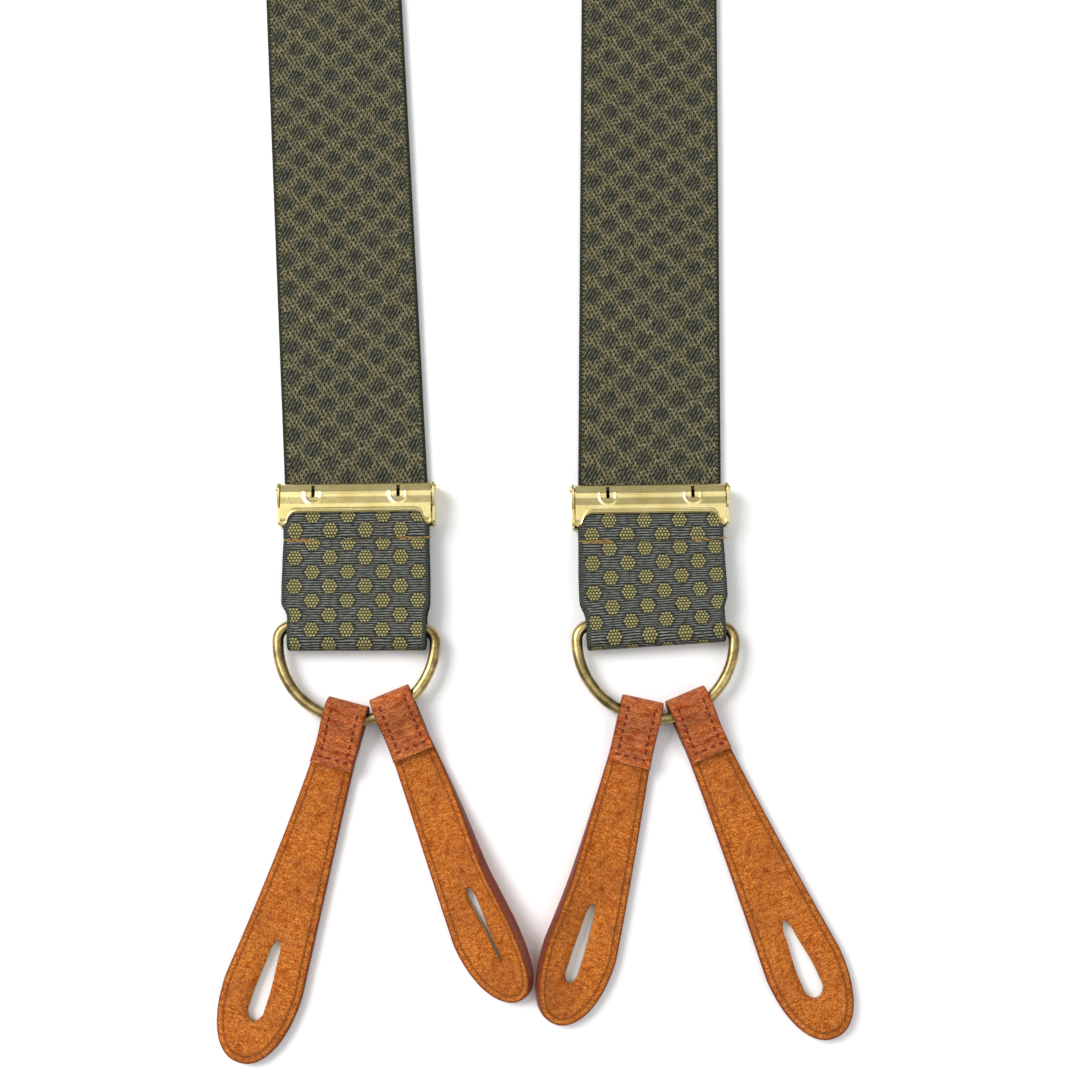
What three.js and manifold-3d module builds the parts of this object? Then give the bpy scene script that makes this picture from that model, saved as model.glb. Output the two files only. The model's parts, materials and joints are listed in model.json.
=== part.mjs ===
// Button-on Y-back suspenders, laid out flat at full length. Millimetres, +Z up.
// +X is to the right, +Y runs from the front tabs to the rear tabs, and Z = 0 is the surface
// that the suspenders lie on. Each front strap runs down behind its adjuster, round the bar of
// a D-ring and back up, and its end is folded round the adjuster's lower bar and sewn.
import * as THREE from "three";
import Module from "manifold-3d";

// ---- Webbing ----
const WEB_WIDTH = 38;
const WEB_THICKNESS = 1.3;
const WEB_GAP = 0.35; // between two plies that lie on each other
const STRAP_REACH = 660; // from the adjuster's origin to the strap's end inside the back patch
const STRAP_STRAIGHT = 175; // how far up the strap stays straight, so the adjuster can run on it
const STRAP_END_OFFSET = 8.5; // each strap's middle at its end, from the patch's middle line
const STRAP_END_HEADING = 13; // degrees that a strap leans inwards where it enters the patch
const STRAP_SPLIT = 40; // above this the strap never moves; below it is the doubled-back loop
const HALF_CENTRE_GAP = 0.4; // half the gap between the two straps inside the patch
const REAR_STRAP_LENGTH = 176; // from inside the patch to the rear D-ring's bar
const REAR_BAR_SLACK = 2.4; // the rear ring's bar lies this far inside the strap's wrap
const REAR_PINCH = 1; // each edge is pushed in, clear of the rear ring's corners as it swings
const REAR_RETURN = 30; // length of the rear strap's sewn return above the bar
const REAR_RETURN_RAMP = 20; // the return lies on the strap from this far above the wrap
const WRAP_PLIES_APART = 5; // the plies above a wrap stay a wrap's height apart this far
const PINCH_START = 5.5; // the webbing narrows towards the wrap from this far above it
const PINCH_LENGTH = 3.5;
const LOOP_FULLNESS = 0.25; // the doubled loop spreads a little, on each side
const LOOP_FULLNESS_LENGTH = 12; // over this length below the adjuster's origin
const SPLIT_GAP = 0.3; // between the strap and its loop, which are modelled apart

// ---- Front ends: where each adjuster lies, and how each run of webbing turns there ----
// Angles in degrees; wrapY is the middle of the loop's end and barY the D-ring's bar, both
// measured from the adjuster's origin.
const LEFT_RING_EDGE_X = -27.75; // near side of each front D-ring, which the inner tabs lie by
const RIGHT_RING_EDGE_X = 8.65;
const LEFT_TURNS = { y: 0, turn: 0.8, loopTurn: -0.6, lean: -2.93, wrapY: -26.8 };
const RIGHT_TURNS = { y: -0.3, turn: 0.8, loopTurn: 3.0, lean: 1.44, wrapY: -25.4 };
const LEFT_RING = { x: 0.3, barY: -23.9, turn: -2.3 };
const RIGHT_RING = { x: 0.65, barY: -23.2, turn: -1.3 };
const LEAN_START = 5; // the strap's lean starts this far above the adjuster's origin
const CENTRE_X = -9.5; // middle line of the back patch

// ---- Adjuster ----
const ADJUSTER_SHEET = 0.7;
const ADJUSTER_SHEET_GAP = 0.3; // between the back plate and the strap on it
const ADJUSTER_SIDE_ROOM = 0.7; // from the webbing's edge to the lever's end
const ADJUSTER_LEVER_WIDTH = WEB_WIDTH + 2 * ADJUSTER_SIDE_ROOM;
const ADJUSTER_EAR = 0.6;
const ADJUSTER_EAR_GAP = 0.3; // between the lever's end and the ear
const EAR_ABOVE_BAR = 1; // height of each ear's lower lobe above the hem bar's axis
const EAR_JOIN = 0.3; // how far the hem bar runs into each ear
const ADJUSTER_BACK_LOW = 3.4;
const ADJUSTER_BACK_HIGH = 14.1;
const HEM_BAR_LOW = 3.6;
const HEM_BAR_HIGH = 6.6;
const HEM_BAR_THICKNESS = 0.9;
const HEM_BAR_GAP = 0.3;
const HEM_TAIL = 10.6; // length of the turned-in ply behind the front layer
const PIN_Y = 12.8;
const PIN_BELOW_TOP = 1.7; // the pin's axis, below the lever's top face
const PIN_RADIUS = 0.5;
const PIN_GAP = 0.25;
const PIN_HEAD_RADIUS = 0.95;
const PIN_HEAD_LENGTH = 0.5;
const PIN_HEAD_GAP = 0.15; // between an ear and the pin's head
const ROLL_WALL = 0.45; // the lever's sheet rolled round the pin
const PLATE_LOW = 6.2;
const PLATE_HEIGHT = 0.9; // the lever's plate with its lip, from underside to top
const LEG_LOW = 2.9;
const LEG_WIDTH = 1.9;
const SLIT_OFFSET = 11.15;
const SLIT_WIDTH = 0.9;
const SLIT_LOW = 10.2;
const RIDGE_WIDTH = 0.8;
const RIDGE_OUTER = 4.9; // overall width of the U-shaped ridge round a slit
const RIDGE_LOW = 8.3;
const RIDGE_HIGH = 12.2;
const RIDGE_HEIGHT = 0.32;
const NOSE_INSET = 1; // from the webbing's edge to the teeth
const NOSE_THICKNESS = 0.7;
const NOSE_GAP = 0.3; // between the teeth and the strap
const TOOTH_PITCH = 3;
const TOOTH_DEPTH = 0.9;

// ---- D-rings ----
const WIRE_RADIUS = 1.45;
const RING_INNER_WIDTH = WEB_WIDTH;
const RING_DEPTH = 24; // from the bar's axis to the bow's centreline
const RING_CORNER = 3.6;
const WRAP_GAP = 0.35; // between the wire and the webbing round it
const WRAP_PINCH = 0.5; // each edge of the webbing is pushed in between the ring's corners

// ---- Leather tabs ----
const LEATHER = 1.4;
const LEATHER_GAP = 0.3;
const OUTER_TAB_LENGTH = 89.5; // from the hinge on the bow to the tip
const INNER_TAB_LENGTH = 80.5;
const TAB_NECK_WIDTH = 10.9;
const TAB_MAX_WIDTH = 20.2;
const TAB_HEAD = 19.5; // distance from the widest line to the tip
const TAB_NECK_END = 10;
const TAB_SWELL = 1.25; // power of the widening between neck and widest line
const TAB_TIP_POWER = 2.2; // roundness of the tip
const TAB_LOOP_ROOM = 1.15; // from the wire to the leather loop round it
const TAB_INSET = 0.8; // the loop's axis lies this far inside the bow's centreline
const FOLD_LENGTH = 13.4; // the turned-over end's reach below the hinge
const FOLD_SETTLE = 8; // distance below the hinge where the plies lie on each other
const FRONT_CLEARANCE = 1; // from the leather loop's inside to the front leather's end
const SLOT_TO_TIP = 31; // from the slot's narrow end to the tip
const SLOT_LENGTH = 20.5;
const SLOT_NARROW = 2.6;
const SLOT_WIDE = 4.2;
const CURL_START = 12; // the blade's roll grows between these two distances from the hinge
const CURL_FULL = 50;

// Each tab: its place round the bow, its heading at the hinge and at the tip (degrees, from
// straight down towards +X), and the roll of one long edge upwards (degrees, + for the right).
const LEFT_TABS = {
  outer: { length: OUTER_TAB_LENGTH, place: -6, heading: -13.3, tipHeading: -16.3, curl: 0 },
  inner: { length: INNER_TAB_LENGTH, place: 32.3, heading: 24, tipHeading: 28, curl: 62 },
};
const RIGHT_TABS = {
  inner: { length: INNER_TAB_LENGTH, place: -12, heading: -12, tipHeading: -19.5, curl: -34 },
  outer: { length: OUTER_TAB_LENGTH, place: 27, heading: 23.5, tipHeading: 24, curl: 0 },
};
const REAR_TABS = {
  left: { length: OUTER_TAB_LENGTH, place: -20, heading: -16, tipHeading: -17, curl: 0 },
  right: { length: OUTER_TAB_LENGTH, place: 20, heading: 16, tipHeading: 17, curl: 0 },
};

// ---- Back patch ----
const PATCH_FRONT_MARGIN = 7; // beside the two straps at the edge where they enter
const PATCH_REAR_MARGIN = 6.5; // beside the rear strap
const PATCH_LENGTH = 82;
const PATCH_CORNER = 7;
const PATCH_STRAP_OVERLAP = 48; // how far the front straps reach into the patch
const PATCH_REAR_OVERLAP = 26;
const PATCH_RIM = 3.2; // the front leather comes down to the back leather over this margin
const PATCH_MOUTH = 6; // length at each end where the front leather stays up over the webbing

// ---- Derived ----
const DEG = Math.PI / 180;
const WEB_HALF = WEB_WIDTH / 2;
const WRAP_WIDTH = RING_INNER_WIDTH - 2 * WRAP_PINCH;
const RING_HALF_WIDTH = RING_INNER_WIDTH / 2 + WIRE_RADIUS;
const LEFT_END = { ...LEFT_TURNS, x: LEFT_RING_EDGE_X - RING_HALF_WIDTH };
const RIGHT_END = { ...RIGHT_TURNS, x: RIGHT_RING_EDGE_X + RING_HALF_WIDTH };
const BOW_HALF_HEIGHT = RING_DEPTH - RING_CORNER;
const STRAP_Z = ADJUSTER_SHEET + ADJUSTER_SHEET_GAP + WEB_THICKNESS / 2;
const WRAP_RADIUS = WIRE_RADIUS + WRAP_GAP + WEB_THICKNESS / 2;
const TAB_LOOP_RADIUS = WIRE_RADIUS + TAB_LOOP_ROOM;
const RING_Z = Math.max(STRAP_Z + WRAP_RADIUS, TAB_LOOP_RADIUS + LEATHER);
const RETURN_Z = (3 * WEB_THICKNESS) / 2 + WEB_GAP; // a ply that lies on a strap on the surface
const HEM_TAIL_Z = STRAP_Z + WEB_THICKNESS + WEB_GAP;
const HEM_RADIUS = (HEM_BAR_THICKNESS + WEB_THICKNESS) / 2 + HEM_BAR_GAP;
const HEM_BAR_Z = HEM_TAIL_Z + HEM_RADIUS;
const HEM_FRONT_Z = HEM_BAR_Z + HEM_RADIUS;
const PLATE_UNDER_Z = HEM_FRONT_Z + WEB_THICKNESS / 2 + WEB_GAP;
const PLATE_TOP_Z = PLATE_UNDER_Z + PLATE_HEIGHT;
const PIN_Z = PLATE_TOP_Z - PIN_BELOW_TOP;
const ROLL_RADIUS = PIN_RADIUS + PIN_GAP + ROLL_WALL;
const NOSE_WIDTH = WEB_WIDTH - 2 * NOSE_INSET;
const EAR_INSIDE = ADJUSTER_LEVER_WIDTH / 2 + ADJUSTER_EAR_GAP;
const EAR_OUTSIDE = EAR_INSIDE + ADJUSTER_EAR;
const NOSE_LOW_Z = STRAP_Z + WEB_THICKNESS / 2 + NOSE_GAP;
const TAB_BACK_Z = LEATHER / 2;
const TAB_FRONT_Z = TAB_BACK_Z + LEATHER + LEATHER_GAP;
const TAB_FOLD_Z = TAB_FRONT_Z + LEATHER + LEATHER_GAP;
const TAB_LOOP_MID = TAB_LOOP_RADIUS + LEATHER / 2;
const FRONT_START = TAB_LOOP_RADIUS + FRONT_CLEARANCE; // below the hinge
const PATCH_FRONT_WIDTH = 2 * (WEB_WIDTH + PATCH_FRONT_MARGIN);
const PATCH_REAR_WIDTH = WEB_WIDTH + 2 * PATCH_REAR_MARGIN;
const PATCH_START_Y = STRAP_REACH - PATCH_STRAP_OVERLAP;
const PATCH_WEB_Z = LEATHER + LEATHER_GAP + WEB_THICKNESS / 2;
const PATCH_TOP_Z = PATCH_WEB_Z + (WEB_THICKNESS + LEATHER) / 2 + LEATHER_GAP;
const REAR_BAR_Y = PATCH_START_Y + PATCH_LENGTH - PATCH_REAR_OVERLAP + REAR_STRAP_LENGTH;

const wasm = await Module();
wasm.setup();

// ---- Colours ----
const material = (name, color, roughness, metalness) => {
  const made = new THREE.MeshStandardMaterial({ color, roughness, metalness });
  made.name = name;
  return made;
};
const webFace = () => material("webbing", 0x56543f, 0.85, 0);
const gilt = () => material("gilt", 0xd9c078, 0.2, 1);
const brass = () => material("antique_brass", 0x8a7446, 0.4, 1);
const tan = () => material("tan_leather", 0xb06a35, 0.65, 0);
const russet = () => material("russet_leather", 0x9c4f28, 0.6, 0);

// ---- Geometry helpers ----
const clamp01 = (t) => Math.min(1, Math.max(0, t));
const smooth = (t) => clamp01(t) ** 2 * (3 - 2 * clamp01(t));
const range = (count, make) => Array.from({ length: count }, (_, i) => make(i));

function indexed(positions, faces) {
  // turns every face round if the surface came out facing inwards
  let volume = 0;
  const at = (k) => new THREE.Vector3().fromArray(positions, 3 * k);
  for (let f = 0; f < faces.length; f += 3)
    volume += at(faces[f]).dot(at(faces[f + 1]).cross(at(faces[f + 2])));
  const facing = volume < 0 ? [...faces].reverse() : faces;
  const geometry = new THREE.BufferGeometry();
  geometry.setAttribute("position", new THREE.Float32BufferAttribute(positions, 3));
  geometry.setIndex(facing);
  geometry.computeVertexNormals();
  return geometry;
}

// A closed sheet from a grid of rows and columns. corner(row, column, side) gives a point on
// its lower (0) or upper (1) face, and a cell that cutOut names is left open, with walls.
function sheet(rows, columns, corner, cutOut = () => false) {
  const positions = [];
  const faces = [];
  for (let i = 0; i <= rows; i++)
    for (let j = 0; j <= columns; j++)
      for (const side of [0, 1]) positions.push(...corner(i, j, side));
  const at = (i, j, side) => (i * (columns + 1) + j) * 2 + side;
  const quad = (a, b, c, d) => faces.push(a, b, c, a, c, d);
  const solid = (i, j) => i >= 0 && j >= 0 && i < rows && j < columns && !cutOut(i, j);
  for (let i = 0; i < rows; i++)
    for (let j = 0; j < columns; j++) {
      if (!solid(i, j)) continue;
      quad(at(i, j, 1), at(i + 1, j, 1), at(i + 1, j + 1, 1), at(i, j + 1, 1));
      quad(at(i, j, 0), at(i, j + 1, 0), at(i + 1, j + 1, 0), at(i + 1, j, 0));
      if (!solid(i - 1, j)) quad(at(i, j, 0), at(i, j, 1), at(i, j + 1, 1), at(i, j + 1, 0));
      if (!solid(i + 1, j))
        quad(at(i + 1, j, 1), at(i + 1, j, 0), at(i + 1, j + 1, 0), at(i + 1, j + 1, 1));
      if (!solid(i, j - 1)) quad(at(i, j, 1), at(i, j, 0), at(i + 1, j, 0), at(i + 1, j, 1));
      if (!solid(i, j + 1))
        quad(at(i, j + 1, 0), at(i, j + 1, 1), at(i + 1, j + 1, 1), at(i + 1, j + 1, 0));
    }
  return indexed(positions, faces);
}

// The two faces of a ply whose middle follows a line of [along, height] points.
function plyFaces(line, thickness) {
  return line.map((p, i) => {
    const before = line[Math.max(0, i - 1)];
    const after = line[Math.min(line.length - 1, i + 1)];
    const turn = (from, to) => Math.atan2(to[1] - from[1], to[0] - from[0]);
    const first = i ? turn(before, p) : turn(p, after);
    const last = i < line.length - 1 ? turn(p, after) : first;
    const half = Math.atan2(Math.sin(last - first), Math.cos(last - first)) / 2;
    const offset = thickness / 2 / Math.cos(half);
    const normal = first + half + Math.PI / 2;
    const step = [Math.cos(normal) * offset, Math.sin(normal) * offset];
    return [
      [p[0] - step[0], p[1] - step[1]],
      [p[0] + step[0], p[1] + step[1]],
    ];
  });
}

// Points on an arc in the [along, height] plane, from one angle to another in degrees.
const arcPoints = (along, height, radius, from, to, steps) =>
  range(steps + 1, (i) => {
    const angle = (from + ((to - from) * i) / steps) * DEG;
    return [along + radius * Math.cos(angle), height + radius * Math.sin(angle)];
  });

const solidOf = (geometry) => {
  const plain = geometry.index ? geometry : indexByPosition(geometry);
  return new wasm.Manifold(
    new wasm.Mesh({
      numProp: 3,
      vertProperties: new Float32Array(plain.getAttribute("position").array),
      triVerts: new Uint32Array(plain.index.array),
    }),
  );
};

function indexByPosition(geometry) {
  const source = geometry.getAttribute("position");
  const seen = new Map();
  const positions = [];
  const faces = [];
  for (let i = 0; i < source.count; i++) {
    const p = [source.getX(i), source.getY(i), source.getZ(i)];
    const key = p.map((c) => Math.round(c * 1e4)).join();
    if (!seen.has(key)) {
      seen.set(key, positions.length / 3);
      positions.push(...p);
    }
    faces.push(seen.get(key));
  }
  return indexed(positions, faces);
}

const geometryOf = (solid) => {
  const mesh = solid.getMesh();
  return indexed(Array.from(mesh.vertProperties), Array.from(mesh.triVerts));
};

const outline = (points) => new THREE.Shape(points.map(([x, y]) => new THREE.Vector2(x, y)));

// An outline pushed along Z from one height to another.
const upright = (shape, low, high) =>
  new THREE.ExtrudeGeometry(shape, {
    depth: high - low,
    bevelEnabled: false,
    curveSegments: 3,
  }).translate(0, 0, low);

// An outline drawn in Y and Z, pushed along X.
const alongX = (shape, low, high) =>
  upright(shape, low, high).applyMatrix4(
    new THREE.Matrix4().makeBasis(
      new THREE.Vector3(0, 1, 0),
      new THREE.Vector3(0, 0, 1),
      new THREE.Vector3(1, 0, 0),
    ),
  );

// An outline drawn in X and Z, pushed along Y.
const alongY = (shape, low, high) =>
  upright(shape, -high, -low).applyMatrix4(
    new THREE.Matrix4().makeBasis(
      new THREE.Vector3(1, 0, 0),
      new THREE.Vector3(0, 0, 1),
      new THREE.Vector3(0, -1, 0),
    ),
  );

const disc = (x, y, radius, steps = 10) =>
  outline(
    range(steps, (i) => {
      const angle = ((i + 0.5) / steps) * 2 * Math.PI;
      return [x + radius * Math.cos(angle), y + radius * Math.sin(angle)];
    }),
  );

function roundedBox(width, low, high, corner) {
  const shape = new THREE.Shape();
  const half = width / 2;
  shape.moveTo(-half + corner, low);
  shape.lineTo(half - corner, low);
  shape.absarc(half - corner, low + corner, corner, -Math.PI / 2, 0);
  shape.lineTo(half, high - corner);
  shape.absarc(half - corner, high - corner, corner, 0, Math.PI / 2);
  shape.lineTo(-half + corner, high);
  shape.absarc(-half + corner, high - corner, corner, Math.PI / 2, Math.PI);
  shape.lineTo(-half, low + corner);
  shape.absarc(-half + corner, low + corner, corner, Math.PI, 1.5 * Math.PI);
  return shape;
}

function named(name, geometry, look) {
  const mesh = new THREE.Mesh(geometry, look);
  mesh.name = name;
  return mesh;
}

// ---- The doubled-back loop of webbing below an adjuster ----
// The run between the adjuster and the ring turns in its own plane by loopTurn.
function bendLoop(x, y, end, lean) {
  if (y >= 0) {
    const drift = y > LEAN_START ? Math.tan(lean * DEG) * (y - LEAN_START) : 0;
    return [x + drift, y];
  }
  const rate = (end.loopTurn * DEG) / -end.wrapY;
  const run = Math.min(-y, -end.wrapY);
  const angle = rate * run;
  const centre = [(1 - Math.cos(angle)) / rate, -Math.sin(angle) / rate];
  const beyond = -y - run;
  return [
    centre[0] + Math.sin(angle) * beyond + Math.cos(angle) * x,
    centre[1] - Math.cos(angle) * beyond + Math.sin(angle) * x,
  ];
}

// How far the webbing has narrowed at a place, from 0 above a wrap to 1 inside the ring's corners.
const pinchAt = (aboveWrap) => smooth((PINCH_START - aboveWrap) / PINCH_LENGTH);

function loopHalfWidth(y, end) {
  const pinch = pinchAt(y - end.wrapY);
  const fullness = LOOP_FULLNESS * smooth(-y / LOOP_FULLNESS_LENGTH);
  return (WEB_HALF + fullness) * (1 - pinch) + (WRAP_WIDTH / 2) * pinch;
}

function webLoop(end) {
  const apart = end.wrapY + WRAP_PLIES_APART;
  const wrapTop = RING_Z + WRAP_RADIUS;
  const back = [
    ...[STRAP_SPLIT - SPLIT_GAP, 24, 12, LEAN_START, 0, -9, -18, apart].map((y) => [y, STRAP_Z]),
    [end.wrapY + WRAP_PLIES_APART / 2, STRAP_Z],
  ];
  const line = [
    ...back,
    ...arcPoints(end.wrapY, RING_Z, WRAP_RADIUS, -90, -270, 8),
    [end.wrapY + WRAP_PLIES_APART / 2, wrapTop],
    [apart, wrapTop - 0.03],
    [-16, (wrapTop + HEM_FRONT_Z) / 2],
    [-8, HEM_FRONT_Z + 0.08],
    [-1, HEM_FRONT_Z],
    ...arcPoints(
      HEM_BAR_HIGH - HEM_BAR_THICKNESS / 2,
      HEM_BAR_Z,
      HEM_RADIUS,
      90,
      -90,
      6,
    ),
    [HEM_BAR_HIGH - HEM_TAIL, HEM_TAIL_Z],
  ];
  const faces = plyFaces(line, WEB_THICKNESS);
  return sheet(line.length - 1, 1, (i, j, side) => {
    const [y, z] = faces[i][side];
    const x = (j * 2 - 1) * loopHalfWidth(y, end);
    const square = i === 0 ? x * Math.tan(end.lean * DEG) : 0; // the cut is square to the strap
    return [...bendLoop(x, y - square, end, i < back.length ? end.lean : 0), z];
  });
}

// ---- Adjuster ----
function adjusterFrame() {
  const back = upright(
    roundedBox(2 * EAR_OUTSIDE, ADJUSTER_BACK_LOW, ADJUSTER_BACK_HIGH, 1),
    0,
    ADJUSTER_SHEET,
  );
  const lobeTop = HEM_BAR_Z + EAR_ABOVE_BAR;
  const earLow = ADJUSTER_SHEET / 7; // the ears start inside the back plate's edge
  const earOutline = outline([
    [HEM_BAR_LOW - 0.2, earLow],
    [ADJUSTER_BACK_HIGH, earLow],
    [ADJUSTER_BACK_HIGH + 0.2, PIN_Z - 1],
    [ADJUSTER_BACK_HIGH, PIN_Z + 0.7],
    [PIN_Y, PIN_Z + 1.3],
    [PIN_Y - 3.2, PIN_Z + 1.1],
    [PIN_Y - 4.6, PIN_Z + 0.4],
    [PIN_Y - 5, lobeTop],
    [HEM_BAR_LOW + 0.4, lobeTop],
    [HEM_BAR_LOW - 0.2, lobeTop - 0.6],
  ]);
  const bar = alongX(
    roundedBox(HEM_BAR_HIGH - HEM_BAR_LOW, 0, HEM_BAR_THICKNESS, 0.4),
    -EAR_INSIDE - EAR_JOIN,
    EAR_INSIDE + EAR_JOIN,
  ).translate(0, (HEM_BAR_LOW + HEM_BAR_HIGH) / 2, HEM_BAR_Z - HEM_BAR_THICKNESS / 2);
  const ear = alongX(earOutline, EAR_INSIDE, EAR_OUTSIDE);
  const otherEar = alongX(earOutline, -EAR_OUTSIDE, -EAR_INSIDE);
  const pinHole = alongX(
    disc(PIN_Y, PIN_Z, PIN_RADIUS + PIN_GAP),
    -EAR_OUTSIDE - 1,
    EAR_OUTSIDE + 1,
  );
  return geometryOf(
    solidOf(back)
      .add(solidOf(ear))
      .add(solidOf(otherEar))
      .add(solidOf(bar))
      .subtract(solidOf(pinHole)),
  );
}

function adjusterLever() {
  const half = ADJUSTER_LEVER_WIDTH / 2;
  const roll = alongX(disc(PIN_Y, PIN_Z, ROLL_RADIUS), -half, half);
  const plate = alongX(
    outline([
      [PIN_Y, PIN_Z + ROLL_RADIUS - 0.02],
      [PIN_Y - 1.3, PLATE_TOP_Z - 0.2],
      [PIN_Y - 2.6, PLATE_TOP_Z - 0.3],
      [PIN_Y - 4.2, PLATE_TOP_Z],
      [PLATE_LOW + 1.1, PLATE_TOP_Z],
      [PLATE_LOW + 0.7, PLATE_TOP_Z - 0.2],
      [PLATE_LOW + 0.3, PLATE_TOP_Z - 0.05],
      [PLATE_LOW, PLATE_TOP_Z - 0.35],
      [PLATE_LOW, PLATE_UNDER_Z],
      [PIN_Y - 1.3, PLATE_UNDER_Z],
      [PIN_Y, PIN_Z + ROLL_RADIUS - 0.4],
    ]),
    -half,
    half,
  );
  const inner = half - LEG_WIDTH;
  const leg = outline([
    [half, PLATE_LOW + 1],
    [inner - 2.6, PLATE_LOW + 1],
    [inner - 2.6, PLATE_LOW + 0.2],
    [inner - 1.1, PLATE_LOW - 0.3],
    [inner - 0.2, PLATE_LOW - 1.2],
    [inner, PLATE_LOW - 2.2],
    [inner + 0.45, LEG_LOW + 0.2],
    [inner + 0.9, LEG_LOW],
    [half - 0.4, LEG_LOW],
    [half, LEG_LOW + 0.5],
  ]);
  const legSolid = solidOf(upright(leg, PLATE_UNDER_Z, PLATE_TOP_Z - 0.15));
  const teeth = Math.floor(NOSE_WIDTH / TOOTH_PITCH);
  const comb = [
    [-NOSE_WIDTH / 2, PIN_Z],
    ...range(teeth, (i) => {
      const start = -NOSE_WIDTH / 2 + i * TOOTH_PITCH;
      return [
        [start, NOSE_LOW_Z],
        [start + TOOTH_PITCH * 0.35, NOSE_LOW_Z],
        [start + TOOTH_PITCH * 0.6, NOSE_LOW_Z + TOOTH_DEPTH],
      ];
    }).flat(),
    [NOSE_WIDTH / 2, NOSE_LOW_Z],
    [NOSE_WIDTH / 2, PIN_Z],
  ];
  const nose = alongY(outline(comb), PIN_Y - NOSE_THICKNESS / 2, PIN_Y + NOSE_THICKNESS / 2);
  const ridgeHalf = RIDGE_OUTER / 2;
  const innerHalf = ridgeHalf - RIDGE_WIDTH;
  const ridge = outline([
    [-ridgeHalf, RIDGE_HIGH],
    [-ridgeHalf, RIDGE_LOW + 1.2],
    [-ridgeHalf + 1.2, RIDGE_LOW],
    [ridgeHalf - 1.2, RIDGE_LOW],
    [ridgeHalf, RIDGE_LOW + 1.2],
    [ridgeHalf, RIDGE_HIGH],
    [innerHalf, RIDGE_HIGH],
    [innerHalf, RIDGE_LOW + 1.5],
    [innerHalf - 0.8, RIDGE_LOW + RIDGE_WIDTH],
    [-innerHalf + 0.8, RIDGE_LOW + RIDGE_WIDTH],
    [-innerHalf, RIDGE_LOW + 1.5],
    [-innerHalf, RIDGE_HIGH],
  ]);
  const slit = roundedBox(SLIT_WIDTH, SLIT_LOW, PIN_Y + 2 * ROLL_RADIUS, SLIT_WIDTH / 3);
  const bore = alongX(disc(PIN_Y, PIN_Z, PIN_RADIUS + PIN_GAP), -half - 1, half + 1);
  let solid = solidOf(plate)
    .add(solidOf(roll))
    .add(solidOf(nose))
    .add(legSolid)
    .add(legSolid.mirror([1, 0, 0]))
    .subtract(solidOf(bore));
  for (const x of [-SLIT_OFFSET, SLIT_OFFSET])
    solid = solid
      .add(solidOf(upright(ridge, PLATE_TOP_Z - 0.6, PLATE_TOP_Z + RIDGE_HEIGHT).translate(x, 0, 0)))
      .subtract(solidOf(upright(slit, PIN_Z + 0.4, PLATE_TOP_Z + 2).translate(x, 0, 0)));
  return geometryOf(solid);
}

function adjusterPin() {
  const end = EAR_OUTSIDE + PIN_HEAD_GAP;
  const profile = [
    [0, -end - PIN_HEAD_LENGTH],
    [PIN_HEAD_RADIUS * 0.7, -end - PIN_HEAD_LENGTH * 0.7],
    [PIN_HEAD_RADIUS, -end],
    [PIN_RADIUS, -end],
    [PIN_RADIUS, end],
    [PIN_HEAD_RADIUS, end],
    [PIN_HEAD_RADIUS * 0.7, end + PIN_HEAD_LENGTH * 0.7],
    [0, end + PIN_HEAD_LENGTH],
  ];
  return new THREE.LatheGeometry(
    profile.map(([r, y]) => new THREE.Vector2(r, y)),
    12,
  )
    .rotateZ(-Math.PI / 2)
    .translate(0, PIN_Y, PIN_Z);
}

// ---- D-ring: a round wire, its straight bar on the local X axis, its bow towards -Y ----
function dRing() {
  const straight = RING_HALF_WIDTH - RING_CORNER;
  const corner = (side, from, to) =>
    range(3, (i) => {
      const angle = (from + ((to - from) * i) / 3) * DEG;
      return [
        side * straight + RING_CORNER * Math.cos(angle),
        -RING_CORNER + RING_CORNER * Math.sin(angle),
      ];
    });
  const bowSteps = 20;
  const bow = range(bowSteps + 1, (i) => {
    const angle = (-i / bowSteps) * Math.PI;
    return [
      RING_HALF_WIDTH * Math.cos(angle),
      -RING_CORNER + BOW_HALF_HEIGHT * Math.sin(angle),
    ];
  });
  const line = [[0, 0], ...corner(1, 90, 0), ...bow, ...corner(-1, 180, 90).slice(1), [-straight, 0]];
  const sides = 8;
  const positions = [];
  const faces = [];
  const count = line.length;
  line.forEach((p, i) => {
    const before = line[(i + count - 1) % count];
    const after = line[(i + 1) % count];
    const heading = Math.atan2(after[1] - before[1], after[0] - before[0]) + Math.PI / 2;
    for (let k = 0; k < sides; k++) {
      const angle = ((k + 0.5) / sides) * 2 * Math.PI;
      const out = WIRE_RADIUS * Math.cos(angle);
      positions.push(
        p[0] + out * Math.cos(heading),
        p[1] + out * Math.sin(heading),
        WIRE_RADIUS * Math.sin(angle),
      );
    }
  });
  for (let i = 0; i < count; i++)
    for (let k = 0; k < sides; k++) {
      const next = (i + 1) % count;
      const turn = (k + 1) % sides;
      const [a, b] = [i * sides + k, next * sides + k];
      const [c, d] = [next * sides + turn, i * sides + turn];
      faces.push(a, b, c, a, c, d);
    }
  return indexed(positions, faces);
}

// ---- Leather tabs, in the D-ring's frame with Z = 0 on the surface below ----
function tabHalfWidth(tab, along) {
  const neck = TAB_NECK_WIDTH / 2;
  const full = TAB_MAX_WIDTH / 2;
  const widest = tab.length - TAB_HEAD;
  if (along <= widest) {
    const grown = clamp01((along - TAB_NECK_END) / (widest - TAB_NECK_END));
    return neck + (full - neck) * grown ** TAB_SWELL;
  }
  const past = (along - widest) / TAB_HEAD;
  return full * (1 - past ** TAB_TIP_POWER) ** (1 / TAB_TIP_POWER);
}

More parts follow.
